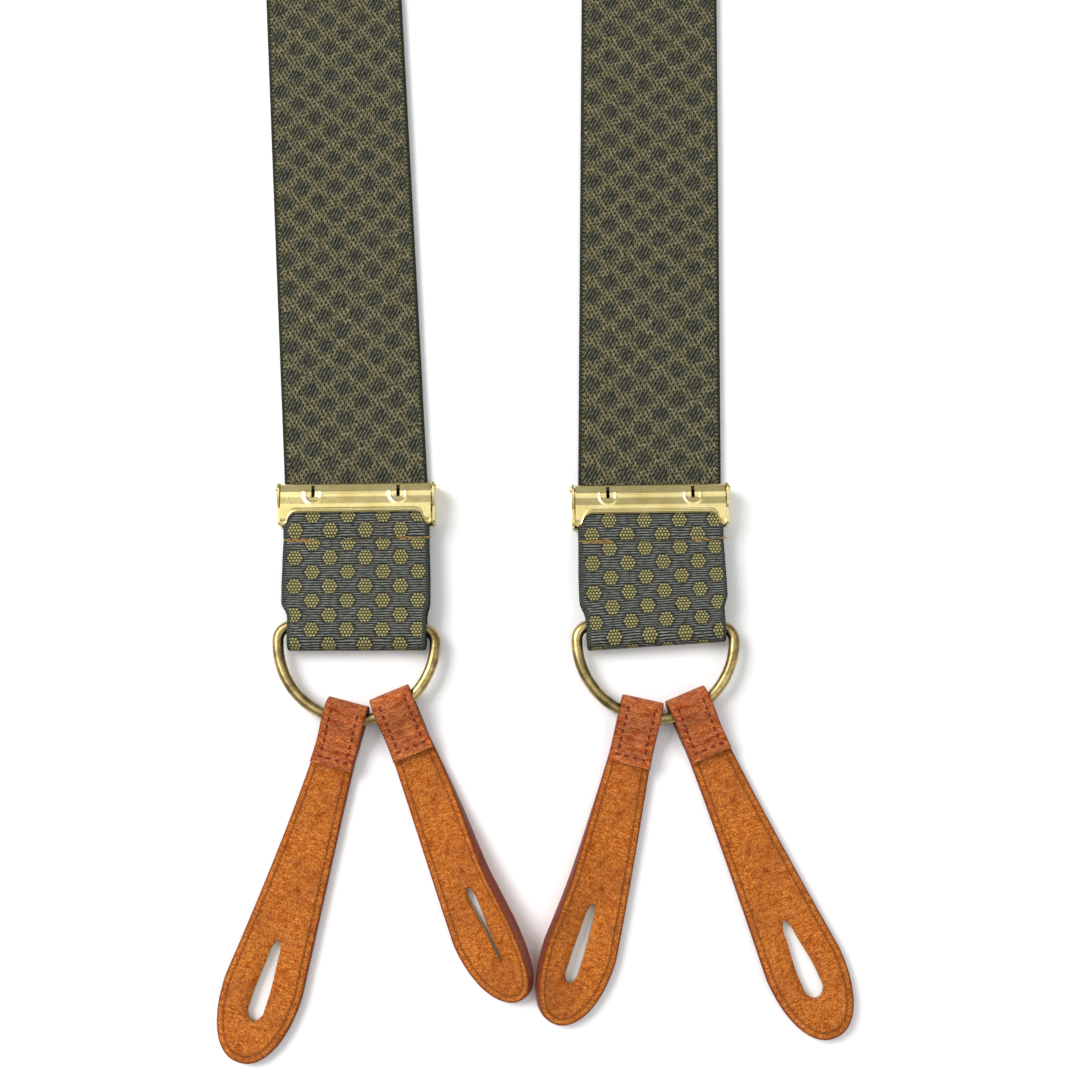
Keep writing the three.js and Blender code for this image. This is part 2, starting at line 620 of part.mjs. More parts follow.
function slotHalfWidth(tab, along) {
  const t = clamp01((along - tab.length + SLOT_TO_TIP) / SLOT_LENGTH);
  const ends = Math.min(1, 0.6 + t * 6, 0.35 + (1 - t) * 5);
  return ((SLOT_NARROW + (SLOT_WIDE - SLOT_NARROW) * smooth((t - 0.1) / 0.6)) / 2) * ends;
}

// A point of the tab from its distance along the tab, its sideways place and its height.
function tabPoint(tab, along, across, height) {
  const reach = smooth((along - CURL_START) / (CURL_FULL - CURL_START));
  const side = Math.sign(tab.curl) || 1;
  const start = -0.5 * tabHalfWidth(tab, CURL_FULL);
  const rate = (Math.abs(tab.curl) * DEG * reach) / (TAB_MAX_WIDTH / 2 - start);
  let sideways = across * side;
  let up = height;
  if (sideways > start && rate > 1e-6) {
    const angle = rate * (sideways - start);
    sideways = start + (1 / rate - height) * Math.sin(angle);
    up = 1 / rate - (1 / rate - height) * Math.cos(angle);
  }
  sideways *= side;
  const base = (RING_HALF_WIDTH - TAB_INSET) * Math.sin(tab.place * DEG);
  const drop = -RING_CORNER - (BOW_HALF_HEIGHT - TAB_INSET) * Math.cos(tab.place * DEG);
  const swing = ((tab.tipHeading - tab.heading) * DEG) / tab.length;
  const first = tab.heading * DEG;
  const heading = first + swing * Math.max(0, along);
  const run = Math.min(0, along);
  const x = (Math.cos(first) - Math.cos(heading)) / swing + run * Math.sin(first);
  const y = -(Math.sin(heading) - Math.sin(first)) / swing - run * Math.cos(first);
  return [
    base + x + sideways * Math.cos(heading),
    drop + y + sideways * Math.sin(heading),
    up,
  ];
}

function tabColumns(tab, along, wide) {
  const half = tabHalfWidth(tab, along);
  const slot = Math.min(slotHalfWidth(tab, along), half * 0.3);
  const steps = wide ? [0.36, 0.68, 1] : [0.5, 1];
  const right = steps.map((t) => slot + (half - slot) * t);
  return [...right.map((x) => -x).reverse(), -slot, slot, ...right];
}

// Where a blade's cross rows lie, counted from the hinge.
function bladeStops(tab) {
  const slot = tab.length - SLOT_TO_TIP;
  const slotRows = [0, 4, 12, SLOT_LENGTH - 2.6, SLOT_LENGTH - 0.9, SLOT_LENGTH];
  const tipRows = [5.8, 2.4, 0.5];
  return [
    22,
    22 + (slot - 22) / 3,
    22 + ((slot - 22) * 2) / 3,
    ...slotRows.map((u) => slot + u),
    ...tipRows.map((u) => tab.length - u),
  ];
}

function tabSheet(tab, line) {
  const wide = tab.curl !== 0;
  const faces = plyFaces(line, LEATHER);
  const columns = wide ? 7 : 5;
  const middle = (columns - 1) / 2;
  const inSlot = (i, j) => {
    const [a, b] = [line[i][0], line[i + 1][0]];
    const onBlade = Math.min(line[i][1], line[i + 1][1]) <= TAB_FRONT_Z + 0.01;
    const start = tab.length - SLOT_TO_TIP;
    const between = Math.min(a, b) >= start - 0.01 && Math.max(a, b) <= start + SLOT_LENGTH + 0.01;
    return j === middle && onBlade && between;
  };
  return sheet(
    line.length - 1,
    columns,
    (i, j, side) => {
      const across = tabColumns(tab, line[i][0], wide)[j];
      return tabPoint(tab, faces[i][side][0], across, faces[i][side][1]);
    },
    inSlot,
  );
}

// The back leather runs up the tab's underside, round the bow and a little way down its face.
const backLeather = (tab) =>
  tabSheet(tab, [
    ...bladeStops(tab)
      .reverse()
      .map((u) => [u, TAB_BACK_Z]),
    [9, TAB_BACK_Z],
    ...arcPoints(0, RING_Z, TAB_LOOP_MID, -84, -262, 8),
    [2.6, RING_Z + TAB_LOOP_MID - 0.7],
    [FOLD_SETTLE - 2.6, TAB_FOLD_Z + 0.75],
    [FOLD_SETTLE, TAB_FOLD_Z + 0.06],
    [FOLD_LENGTH, TAB_FOLD_Z],
  ]);

const frontLeather = (tab) =>
  tabSheet(tab, [
    [FRONT_START, TAB_FRONT_Z],
    [9, TAB_FRONT_Z],
    ...bladeStops(tab).map((u) => [u, TAB_FRONT_Z]),
  ]);

// ---- Front straps, from above the loop to the back patch ----
function strapLine(end) {
  const turn = end.turn * DEG;
  const start = bendLoop(0, STRAP_SPLIT, end, end.lean);
  const heading = (end.lean - end.turn) * DEG; // from straight up, + towards +X
  const side = Math.sign(end.x - CENTRE_X);
  const low = new THREE.Vector2(
    end.x + start[0] * Math.cos(turn) - start[1] * Math.sin(turn),
    end.y + start[0] * Math.sin(turn) + start[1] * Math.cos(turn),
  );
  const up = new THREE.Vector2(Math.sin(heading), Math.cos(heading));
  const bendStart = low.clone().addScaledVector(up, STRAP_STRAIGHT - STRAP_SPLIT);
  const endHeading = -side * STRAP_END_HEADING * DEG;
  const arrive = new THREE.Vector2(Math.sin(endHeading), Math.cos(endHeading));
  const finish = new THREE.Vector2(CENTRE_X + side * STRAP_END_OFFSET, STRAP_REACH);
  const curve = new THREE.CubicBezierCurve(
    bendStart,
    bendStart.clone().addScaledVector(up, (STRAP_REACH - STRAP_STRAIGHT) * 0.38),
    finish.clone().addScaledVector(arrive, -(STRAP_REACH - STRAP_STRAIGHT) * 0.45),
    finish,
  );
  const bends = 26;
  return [
    { at: low, way: up },
    ...range(bends + 1, (i) => ({
      at: curve.getPointAt(i / bends),
      way: curve.getTangentAt(i / bends),
    })),
  ];
}

// The strap's middle height: clear of the adjuster's back plate over its travel, then down on
// the surface, and up again between the two leathers of the patch.
function strapHeight(y) {
  const down = smooth((y - STRAP_STRAIGHT) / 30);
  const rise = smooth((y - (PATCH_START_Y - 28)) / 22);
  const ground = WEB_THICKNESS / 2;
  return STRAP_Z + (ground - STRAP_Z) * down + (PATCH_WEB_Z - ground) * rise;
}

function strapSheet(end) {
  const line = strapLine(end);
  const side = Math.sign(end.x - CENTRE_X);
  return sheet(line.length - 1, 1, (i, j, upper) => {
    const { at, way } = line[i];
    let across = (j * 2 - 1) * WEB_HALF;
    const innerLimit = (side * (CENTRE_X - at.x) + HALF_CENTRE_GAP) / way.y;
    if (side * across < innerLimit) across = side * innerLimit;
    const x = at.x + across * way.y;
    const y = at.y - across * way.x;
    return [x, y, strapHeight(at.y) + (upper - 0.5) * WEB_THICKNESS];
  });
}

// ---- Back patch: two leathers with the webbing between them ----
function patchHalfWidth(along) {
  const t = clamp01(along / PATCH_LENGTH);
  const straight = PATCH_FRONT_WIDTH + (PATCH_REAR_WIDTH - PATCH_FRONT_WIDTH) * smooth(t);
  const nearest = Math.min(along, PATCH_LENGTH - along);
  const inset = nearest < PATCH_CORNER ? PATCH_CORNER - nearest : 0;
  return straight / 2 - (PATCH_CORNER - Math.sqrt(PATCH_CORNER ** 2 - inset ** 2));
}

const PATCH_STOPS = [
  0, 1.6, PATCH_CORNER, 20, 34, 48, 62,
  PATCH_LENGTH - PATCH_CORNER, PATCH_LENGTH - 1.6, PATCH_LENGTH,
];

function patchSheet(middle, rimDrop) {
  return sheet(PATCH_STOPS.length - 1, 7, (i, j, upper) => {
    const along = PATCH_STOPS[i];
    const half = patchHalfWidth(along);
    const columns = [half, half - PATCH_RIM * 0.55, half - PATCH_RIM, half / 3];
    const k = j < 4 ? j : 7 - j;
    const x = (j < 4 ? -1 : 1) * columns[k];
    const low = k === 0 ? 1 : k === 1 ? 0.85 : 0;
    const nearest = Math.min(along, PATCH_LENGTH - along);
    const drop = rimDrop * low * smooth((nearest - PATCH_MOUTH) / 10);
    const z = middle - drop + (upper - 0.5) * LEATHER;
    return [CENTRE_X + x, PATCH_START_Y + along, z];
  });
}

// ---- Rear strap, sewn back on itself round the rear D-ring's bar ----
function rearStrap() {
  const start = REAR_BAR_Y - REAR_STRAP_LENGTH;
  const patchEnd = PATCH_START_Y + PATCH_LENGTH;
  const ground = WEB_THICKNESS / 2;
  const wrapTop = RING_Z + WRAP_RADIUS;
  const line = [
    [start, PATCH_WEB_Z],
    [patchEnd + 1, PATCH_WEB_Z],
    [patchEnd + 8, (PATCH_WEB_Z + ground) / 2],
    [patchEnd + 16, ground],
    [REAR_BAR_Y - 60, ground],
    [REAR_BAR_Y - 24, ground],
    [REAR_BAR_Y - 8, ground + 0.2],
    ...arcPoints(REAR_BAR_Y, RING_Z, WRAP_RADIUS, -90, 84, 8),
    [REAR_BAR_Y - WRAP_PLIES_APART, wrapTop],
    [REAR_BAR_Y - (WRAP_PLIES_APART + REAR_RETURN_RAMP) / 2, (wrapTop + RETURN_Z) / 2],
    [REAR_BAR_Y - REAR_RETURN_RAMP, RETURN_Z],
    [REAR_BAR_Y - REAR_RETURN, RETURN_Z],
  ];
  const faces = plyFaces(line, WEB_THICKNESS);
  return sheet(line.length - 1, 1, (i, j, side) => {
    const [y, z] = faces[i][side];
    const half = WEB_HALF - REAR_PINCH * pinchAt(REAR_BAR_Y - REAR_BAR_SLACK - y);
    return [CENTRE_X + (j * 2 - 1) * half, y, z];
  });
}

// ---- Assembly ----
function ringGroup(prefix, tabs) {
  const group = new THREE.Group();
  group.name = prefix + "_ring_end";
  const ring = named(prefix + "_d_ring", dRing(), brass());
  ring.position.z = RING_Z;
  group.add(ring);
  for (const [which, tab] of Object.entries(tabs)) {
    group.add(named(prefix + "_" + which + "_tab_front", frontLeather(tab), tan()));
    group.add(named(prefix + "_" + which + "_tab_back", backLeather(tab), russet()));
  }
  return group;
}

function frontEnd(prefix, end, place, tabs) {
  const group = new THREE.Group();
  group.name = prefix + "_front_end";
  group.position.set(end.x, end.y, 0);
  group.rotation.z = end.turn * DEG;
  group.add(named(prefix + "_strap_loop", webLoop(end), webFace()));
  group.add(named(prefix + "_adjuster_frame", adjusterFrame(), gilt()));
  group.add(named(prefix + "_adjuster_pin", adjusterPin(), gilt()));
  group.add(named(prefix + "_adjuster_lever", adjusterLever(), gilt()));
  const ring = ringGroup(prefix, tabs);
  ring.position.set(place.x, place.barY, 0);
  ring.rotation.z = place.turn * DEG;
  group.add(ring);
  return group;
}

const suspenders = new THREE.Group();
suspenders.name = "suspenders";
suspenders.add(frontEnd("left", LEFT_END, LEFT_RING, LEFT_TABS));
suspenders.add(frontEnd("right", RIGHT_END, RIGHT_RING, RIGHT_TABS));
suspenders.add(named("left_strap", strapSheet(LEFT_END), webFace()));
suspenders.add(named("right_strap", strapSheet(RIGHT_END), webFace()));
suspenders.add(named("back_patch_back", patchSheet(LEATHER / 2, 0), russet()));
suspenders.add(
  named(
    "back_patch_front",
    patchSheet(PATCH_TOP_Z, PATCH_TOP_Z - LEATHER * 1.5 - LEATHER_GAP),
    tan(),
  ),
);
suspenders.add(named("rear_strap", rearStrap(), webFace()));
const rear = ringGroup("rear", REAR_TABS);
rear.position.set(CENTRE_X, REAR_BAR_Y - REAR_BAR_SLACK, 0);
rear.rotation.z = Math.PI;
suspenders.add(rear);

// The origin lies under the middle of the whole.
const bounds = new THREE.Box3().setFromObject(suspenders);
const middle = bounds.getCenter(new THREE.Vector3());
for (const child of suspenders.children) {
  child.position.x -= middle.x;
  child.position.y -= middle.y;
}

export default suspenders;
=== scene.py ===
"""Looks of a pair of button-on Y-back suspenders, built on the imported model.

Shapes are worked out in millimetres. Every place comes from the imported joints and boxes: a
front end's frame has its origin between the adjuster's lower corners and +Y up the strap, a
ring's frame has the bar on its X axis, and a tab's frame has its hinge at the origin.
"""

import json
import math

import bmesh
import bpy
import numpy as np
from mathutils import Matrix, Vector


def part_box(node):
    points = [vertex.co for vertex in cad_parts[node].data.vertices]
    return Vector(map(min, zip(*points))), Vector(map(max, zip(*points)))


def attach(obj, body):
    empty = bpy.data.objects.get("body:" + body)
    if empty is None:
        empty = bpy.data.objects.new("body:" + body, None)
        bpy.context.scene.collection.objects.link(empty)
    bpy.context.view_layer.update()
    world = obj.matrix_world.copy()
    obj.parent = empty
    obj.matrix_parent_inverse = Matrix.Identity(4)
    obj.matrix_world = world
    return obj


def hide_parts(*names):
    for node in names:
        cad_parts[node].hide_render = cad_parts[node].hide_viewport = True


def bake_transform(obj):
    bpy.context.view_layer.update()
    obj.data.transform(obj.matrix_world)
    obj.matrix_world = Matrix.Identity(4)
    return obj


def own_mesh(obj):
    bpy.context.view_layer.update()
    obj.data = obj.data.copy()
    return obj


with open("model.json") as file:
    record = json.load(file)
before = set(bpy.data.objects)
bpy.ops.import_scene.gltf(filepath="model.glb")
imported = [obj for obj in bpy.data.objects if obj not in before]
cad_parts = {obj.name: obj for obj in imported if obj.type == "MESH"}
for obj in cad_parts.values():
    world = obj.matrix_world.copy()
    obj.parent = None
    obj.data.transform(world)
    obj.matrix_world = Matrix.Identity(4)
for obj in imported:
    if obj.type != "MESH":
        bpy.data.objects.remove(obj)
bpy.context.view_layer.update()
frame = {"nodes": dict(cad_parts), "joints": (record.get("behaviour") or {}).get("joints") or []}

# ---- Sizes, in millimetres and degrees ----
WEB_WIDTH = 38.0
WEB_THICKNESS = 1.3
WEB_GAP = 0.35
SHEET_METAL = 0.7
LEATHER = 1.4
LEATHER_GAP = 0.3
WIRE_RADIUS = 1.45
RING_HALF_WIDTH = 20.45
RING_CORNER = 3.6
BOW_HALF_HEIGHT = 20.4
# The webbing's width inside a front ring, and where above the wrap it narrows: a little more
# than in the solids, so that the ring's corners clear it at both ends of the swing.
WRAP_WIDTH = 36.1
WRAP_PINCH_START = 9.5
WRAP_PINCH_LENGTH = 4.0
STRAP_Z = SHEET_METAL + LEATHER_GAP + WEB_THICKNESS / 2
WRAP_RADIUS = WIRE_RADIUS + 0.35 + WEB_THICKNESS / 2
RING_Z = STRAP_Z + WRAP_RADIUS
HEM_TAIL_Z = STRAP_Z + WEB_THICKNESS + WEB_GAP
HEM_RADIUS = 1.4
HEM_BAR_Y = 6.15
HEM_BAR_Z = HEM_TAIL_Z + HEM_RADIUS
HEM_FRONT_Z = HEM_BAR_Z + HEM_RADIUS
HEM_TAIL_END = -4.0
STRAP_SPLIT = 40.0
STRAP_STRAIGHT = 175.0
STRAP_REACH = 660.0
LEAN_START = 5.0
SEAM_Y = -0.9
PIN_Y = 12.8
PIN_Z = 6.3
PIN_RADIUS = 0.5
ROLL_RADIUS = 1.2
ROLL_WALL = 0.45
LEVER_HALF = 19.7
LEVER_SHEET = 0.55
EAR_OUTSIDE = 20.6
SLIT_OFFSET = 11.15
SLIT_HALF = 0.45
SLIT_LOW = 10.2
RIDGE_RADIUS = 2.05
RIDGE_CENTRE_Y = 10.75
RIDGE_HEIGHT = 0.16
NOSE_HALF = 18.0
NOSE_GAP = 0.3
NOSE_THICKNESS = 0.6
TOOTH_PITCH = 3.0
TOOTH_DEPTH = 0.85
TAB_HEAD = 19.5
TAB_NECK = 10.9
TAB_FULL = 20.2
TAB_NECK_END = 10.0
SLOT_TO_TIP = 31.0
SLOT_LENGTH = 20.5
CURL_START = 12.0
CURL_FULL = 50.0
FOLD_LENGTH = 13.4
TAB_BACK_Z = LEATHER / 2
TAB_FRONT_Z = TAB_BACK_Z + LEATHER + LEATHER_GAP
TAB_FOLD_Z = TAB_FRONT_Z + LEATHER + LEATHER_GAP
TAB_LOOP_MID = 2.6 + LEATHER / 2
PATCH_WEB_Z = LEATHER + LEATHER_GAP + WEB_THICKNESS / 2
PATCH_TOP_Z = PATCH_WEB_Z + (WEB_THICKNESS + LEATHER) / 2 + LEATHER_GAP
RIM_DROP = PATCH_TOP_Z - LEATHER * 1.5 - LEATHER_GAP
PATCH_FRONT_WIDTH = 90.0
PATCH_REAR_WIDTH = 51.0
PATCH_LENGTH = 82.0
PATCH_CORNER = 7.0
PATCH_OVERLAP = 48.0
REAR_RETURN = 30.0
REAR_PINCH = 1.0
REAR_PINCH_START = 5.5
REAR_PINCH_LENGTH = 3.5
STITCH_INSET = 1.7
EDGE_RADIUS = 0.35
SKIVE_DEPTH = 0.45
SKIVE_WIDTH = 2.2

# Each loop of webbing: how it turns in its own plane, the middle of its lower end, and how far
# the D-ring in it lies to the side.
LOOPS = {"left": (-0.6, -26.8, 0.42), "right": (3.0, -25.4, 0.1)}

# Each tab: length, turn from hinge to tip, roll of one long edge, half width of its slot.
TABS = {
    "left_outer": (89.5, -3.0, 0.0, 2.1),
    "left_inner": (80.5, 4.0, 62.0, 0.55),
    "right_inner": (80.5, -7.5, -34.0, 1.8),
    "right_outer": (89.5, 0.5, 0.0, 2.5),
    "rear_left": (89.5, -1.0, 0.0, 2.1),
    "rear_right": (89.5, 1.0, 0.0, 2.1),
}

# The figure of the weave: a staggered grid of dots, and where a dot lies in each piece.
FIGURE_ACROSS = 9.2
FIGURE_ALONG = 7.6
FIGURE_STRETCH = 1.08
FIGURE_PLACE = {"left": (2.6, -5.7, 3.9), "right": (2.9, 0.95, 1.2), "rear": (0.0, 0.0, 0.0)}

# The camera hangs above the front ends and looks a little up the straps.
CAMERA_DISTANCE = 419.66
CAMERA_TILT = 10.0
CAMERA_VIEW = 37.74
AIM_FROM_LEFT_ADJUSTER = (48.2, 0.0)

# The panel overhead: what the surround's strength is multiplied by as a part of the direction
# grows, from one place to another and from one value to another.
PANEL = (
    ("Y", (-0.35, -0.1, 0.42, 1.08)),
    ("Y", (0.24, 0.46, 1.0, 0.38)),
    ("X", (-0.65, -0.35, 0.45, 1.0)),
    ("X", (0.35, 0.65, 1.0, 0.45)),
)

RAMP_STOPS = ("From Min", "From Max", "To Min", "To Max")
QUARTER_TURN = 1.5708
JOINTS = {joint["name"]: joint for joint in frame["joints"]}
RNG = np.random.default_rng(7)


def smooth(t):
    t = np.clip(t, 0, 1)
    return t * t * (3 - 2 * t)


class Place:
    """A flat frame on the table: its origin and its turn about +Z."""

    def __init__(self, origin, turn):
        self.origin = np.array(origin[:2], float)
        self.turn = turn

    def out(self, x, y):
        """Row-frame X and Y of points given in this frame."""
        c, s = math.cos(self.turn), math.sin(self.turn)
        return self.origin[0] + c * x - s * y, self.origin[1] + s * x + c * y

    def out_3d(self, points):
        """Row-frame points from an array of [x, y, height] in this frame."""
        return np.stack([*self.out(points[:, 0], points[:, 1]), points[:, 2]], 1)


def hinge_place(joint):
    """The frame of a hinge whose axis runs towards local -X."""
    ax, ay, _ = JOINTS[joint]["axis"]
    return Place(np.array(JOINTS[joint]["pos_m"]) * 1000, math.atan2(-ay, -ax))


def adjuster_place(side):
    pin = hinge_place(side + "_lever_flip")
    return Place(pin.out(0, -PIN_Y), pin.turn)


FRONT = {side: adjuster_place(side) for side in ("left", "right")}
PATCH_LOW, PATCH_HIGH = (np.array(corner) * 1000 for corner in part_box("back_patch_back"))
CENTRE_X = (PATCH_LOW[0] + PATCH_HIGH[0]) / 2
AIM = FRONT["left"].origin + np.array(AIM_FROM_LEFT_ADJUSTER)


# ---- Camera ----
def add_camera():
    tilt = math.radians(CAMERA_TILT)
    data = bpy.data.cameras.new("camera")
    data.sensor_fit = "HORIZONTAL"
    data.angle = math.radians(CAMERA_VIEW)
    data.clip_start = 0.01
    data.clip_end = 20
    camera = bpy.data.objects.new("camera", data)
    back, up = CAMERA_DISTANCE * math.sin(tilt), CAMERA_DISTANCE * math.cos(tilt)
    camera.location = (AIM[0] / 1000, (AIM[1] - back) / 1000, up / 1000)
    camera.rotation_euler = (tilt, 0, 0)
    bpy.context.scene.collection.objects.link(camera)
    bpy.context.scene.camera = camera


# ---- Materials ----
def srgb(red, green, blue):
    """A linear colour from 0 to 255 display values."""
    values = [c / 255 for c in (red, green, blue)]
    linear = [c / 12.92 if c <= 0.04045 else ((c + 0.055) / 1.055) ** 2.4 for c in values]
    return (*linear, 1.0)


class Number:
    """A value in a material's node tree that takes part in sums."""

    def __init__(self, look, socket):
        self.look = look
        self.socket = socket

    def __add__(self, other):
        return self.look.maths("ADD", self, other)

    def __sub__(self, other):
        return self.look.maths("SUBTRACT", self, other)

    def __rsub__(self, other):
        return self.look.maths("SUBTRACT", other, self)

    def __mul__(self, other):
        return self.look.maths("MULTIPLY", self, other)

    def __truediv__(self, other):
        return self.look.maths("DIVIDE", self, other)

    def __pow__(self, other):
        return self.look.maths("POWER", self, other)

    __radd__ = __add__
    __rmul__ = __mul__

    def size(self):
        return self.look.maths("ABSOLUTE", self)

    def round(self):
        return self.look.maths("ROUND", self)

    def wrap(self, half):
        return self.look.maths("WRAP", self, half, -half)

    def wave(self, period):
        """From 0 to 1 and back over each period, 1 at zero."""
        return self.look.maths("COSINE", self * (2 * math.pi / period)) * 0.5 + 0.5

    def over(self, other):
        return self.look.maths("MAXIMUM", self, other)

    def step(self, low, high, to_low=0.0, to_high=1.0):
        """A smooth step from one value to another."""
        return self.look.ramp(self, low, high, to_low, to_high)


class Look:
    """A material, and short forms for the nodes that make it."""

    def __init__(self, name):
        self.material = bpy.data.materials.new(name)
        self.material.use_nodes = True
        self.tree = self.material.node_tree
        self.shader = self.tree.nodes["Principled BSDF"]

    def put(self, target, value):
        if isinstance(value, Number):
            value = value.socket
        if isinstance(value, bpy.types.NodeSocket):
            self.tree.links.new(value, target)
        else:
            target.default_value = value

    def maths(self, operation, *inputs):
        node = self.tree.nodes.new("ShaderNodeMath")
        node.operation = operation
        for socket, value in zip(node.inputs, inputs):
            self.put(socket, value)
        return Number(self, node.outputs[0])

    def ramp(self, value, low, high, to_low, to_high):
        node = self.tree.nodes.new("ShaderNodeMapRange")
        node.interpolation_type = "SMOOTHSTEP"
        self.put(node.inputs["Value"], value)
        for name, given in zip(RAMP_STOPS, (low, high, to_low, to_high)):
            self.put(node.inputs[name], given)
        return Number(self, node.outputs["Result"])

    def attribute(self, name):
        node = self.tree.nodes.new("ShaderNodeAttribute")
        node.attribute_name = name
        return node

    def place(self):
        """The rest place that each vertex carries, in millimetres, as three numbers."""
        split = self.tree.nodes.new("ShaderNodeSeparateXYZ")
        self.put(split.inputs[0], self.attribute("place").outputs["Vector"])
        return [Number(self, socket) for socket in split.outputs]

    def inset(self):
        """How far a vertex lies inside its piece's outline, in millimetres."""
        return Number(self, self.attribute("inset").outputs["Fac"])

    def vector(self, x, y, z=0.0):
        node = self.tree.nodes.new("ShaderNodeCombineXYZ")
        for socket, value in zip(node.inputs, (x, y, z)):
            self.put(socket, value)
        return node.outputs[0]

    def noise(self, vector, scale, detail=2.0, roughness=0.5):
        node = self.tree.nodes.new("ShaderNodeTexNoise")
        self.put(node.inputs["Vector"], vector)
        self.put(node.inputs["Scale"], scale)
        self.put(node.inputs["Detail"], detail)
        self.put(node.inputs["Roughness"], roughness)
        return Number(self, node.outputs["Fac"])

    def cells(self, vector, scale):
        """Distance to the nearest border between cells."""
        node = self.tree.nodes.new("ShaderNodeTexVoronoi")
        node.feature = "DISTANCE_TO_EDGE"
        self.put(node.inputs["Vector"], vector)
        self.put(node.inputs["Scale"], scale)
        return Number(self, node.outputs["Distance"])

    def mix(self, share, first, second):
        node = self.tree.nodes.new("ShaderNodeMix")
        node.data_type = "RGBA"
        node.clamp_factor = True
        self.put(node.inputs["Factor"], share)
        self.put(node.inputs[6], first)
        self.put(node.inputs[7], second)
        return node.outputs[2]

    def finish(self, colour, roughness, height=None, depth=0.1, metallic=0.0, specular=0.5):
        """Ends the material. height is a relief that is depth millimetres deep."""
        self.put(self.shader.inputs["Base Color"], colour)
        self.put(self.shader.inputs["Roughness"], roughness)
        self.shader.inputs["Metallic"].default_value = metallic
        self.shader.inputs["Specular IOR Level"].default_value = specular
        if height is not None:
            bump = self.tree.nodes.new("ShaderNodeBump")
            bump.inputs["Strength"].default_value = 1.0
            bump.inputs["Distance"].default_value = depth / 1000
            self.put(bump.inputs["Height"], height)
            self.put(self.shader.inputs["Normal"], bump.outputs["Normal"])
        return self.material


def figure_spot(look, u, v, shape):
    """The largest of shape over the two interleaved grids of dots."""
    half_across, half_along = FIGURE_ACROSS / 2, FIGURE_ALONG / 2
    first = shape(u.wrap(half_across), v.wrap(half_along))
    second = shape((u + half_across).wrap(half_across), (v + half_along).wrap(half_along))
    return first.over(second)


def webbing_face():
    """Dark hatched dots on an olive-gold net of slanting threads."""
    look = Look("webbing_face")
    u, v, edge = look.place()
    sway = look.noise(look.vector(u, v), 0.35, 2.0) - 0.5
    lean = math.radians(60)
    right = u * math.sin(lean) - v * math.cos(lean) + sway * 0.5
    left = u * math.sin(lean) + v * math.cos(lean) + sway * 0.4
    run = u * math.cos(lean) + v * math.sin(lean)
    dash = (run + (right / 0.86).round() * 0.95).wave(1.9)
    hatch = right.wave(0.86) * (dash * 0.5 + 0.5)
    net = left.wave(1.08) ** 3.0
    grain = look.noise(look.vector(u, v), 1.0, 4.0, 0.85)
    wear = look.noise(look.vector(u, v), 0.5, 2.0, 0.6)

    def dot(du, dv):
        reach = (du.size() / 2.75) ** 1.45 + (dv.size() / 2.35) ** 1.45
        return reach.step(0.45, 1.4, 1.0, 0.0)

    thread_u = (u / 0.5).round() * 0.3 + u * 0.4
    thread_v = (v / 0.7).round() * 0.42 + v * 0.4
    inside = figure_spot(look, thread_u + sway * 0.6, thread_v + sway * 0.4, dot)
    lit = (grain * 4.4 - 1.55).over(0.03)
    ground_light = (hatch * 0.8).over(net) * lit
    ground = look.mix(ground_light, srgb(28, 27, 8), srgb(194, 186, 148))
    spot = look.mix(hatch * lit * 0.9, srgb(22, 24, 17), srgb(128, 130, 120))
    colour = look.mix(inside * (wear * 0.7 + 0.52), ground, spot)
    selvedge = look.mix(v.wave(0.75) * 0.8, srgb(38, 40, 32), srgb(74, 78, 68))
    bead = look.mix(v.wave(1.1) * lit, srgb(42, 42, 26), srgb(140, 138, 106))
    colour = look.mix(edge.step(1.25, 1.45, 1.0, 0.0), colour, bead)
    colour = look.mix(edge.step(0.75, 0.95, 1.0, 0.0), colour, selvedge)
    height = ground_light * (1 - inside * 0.4) + hatch * 0.4
    return look.finish(colour, 0.9, height, 0.4, specular=0.03)


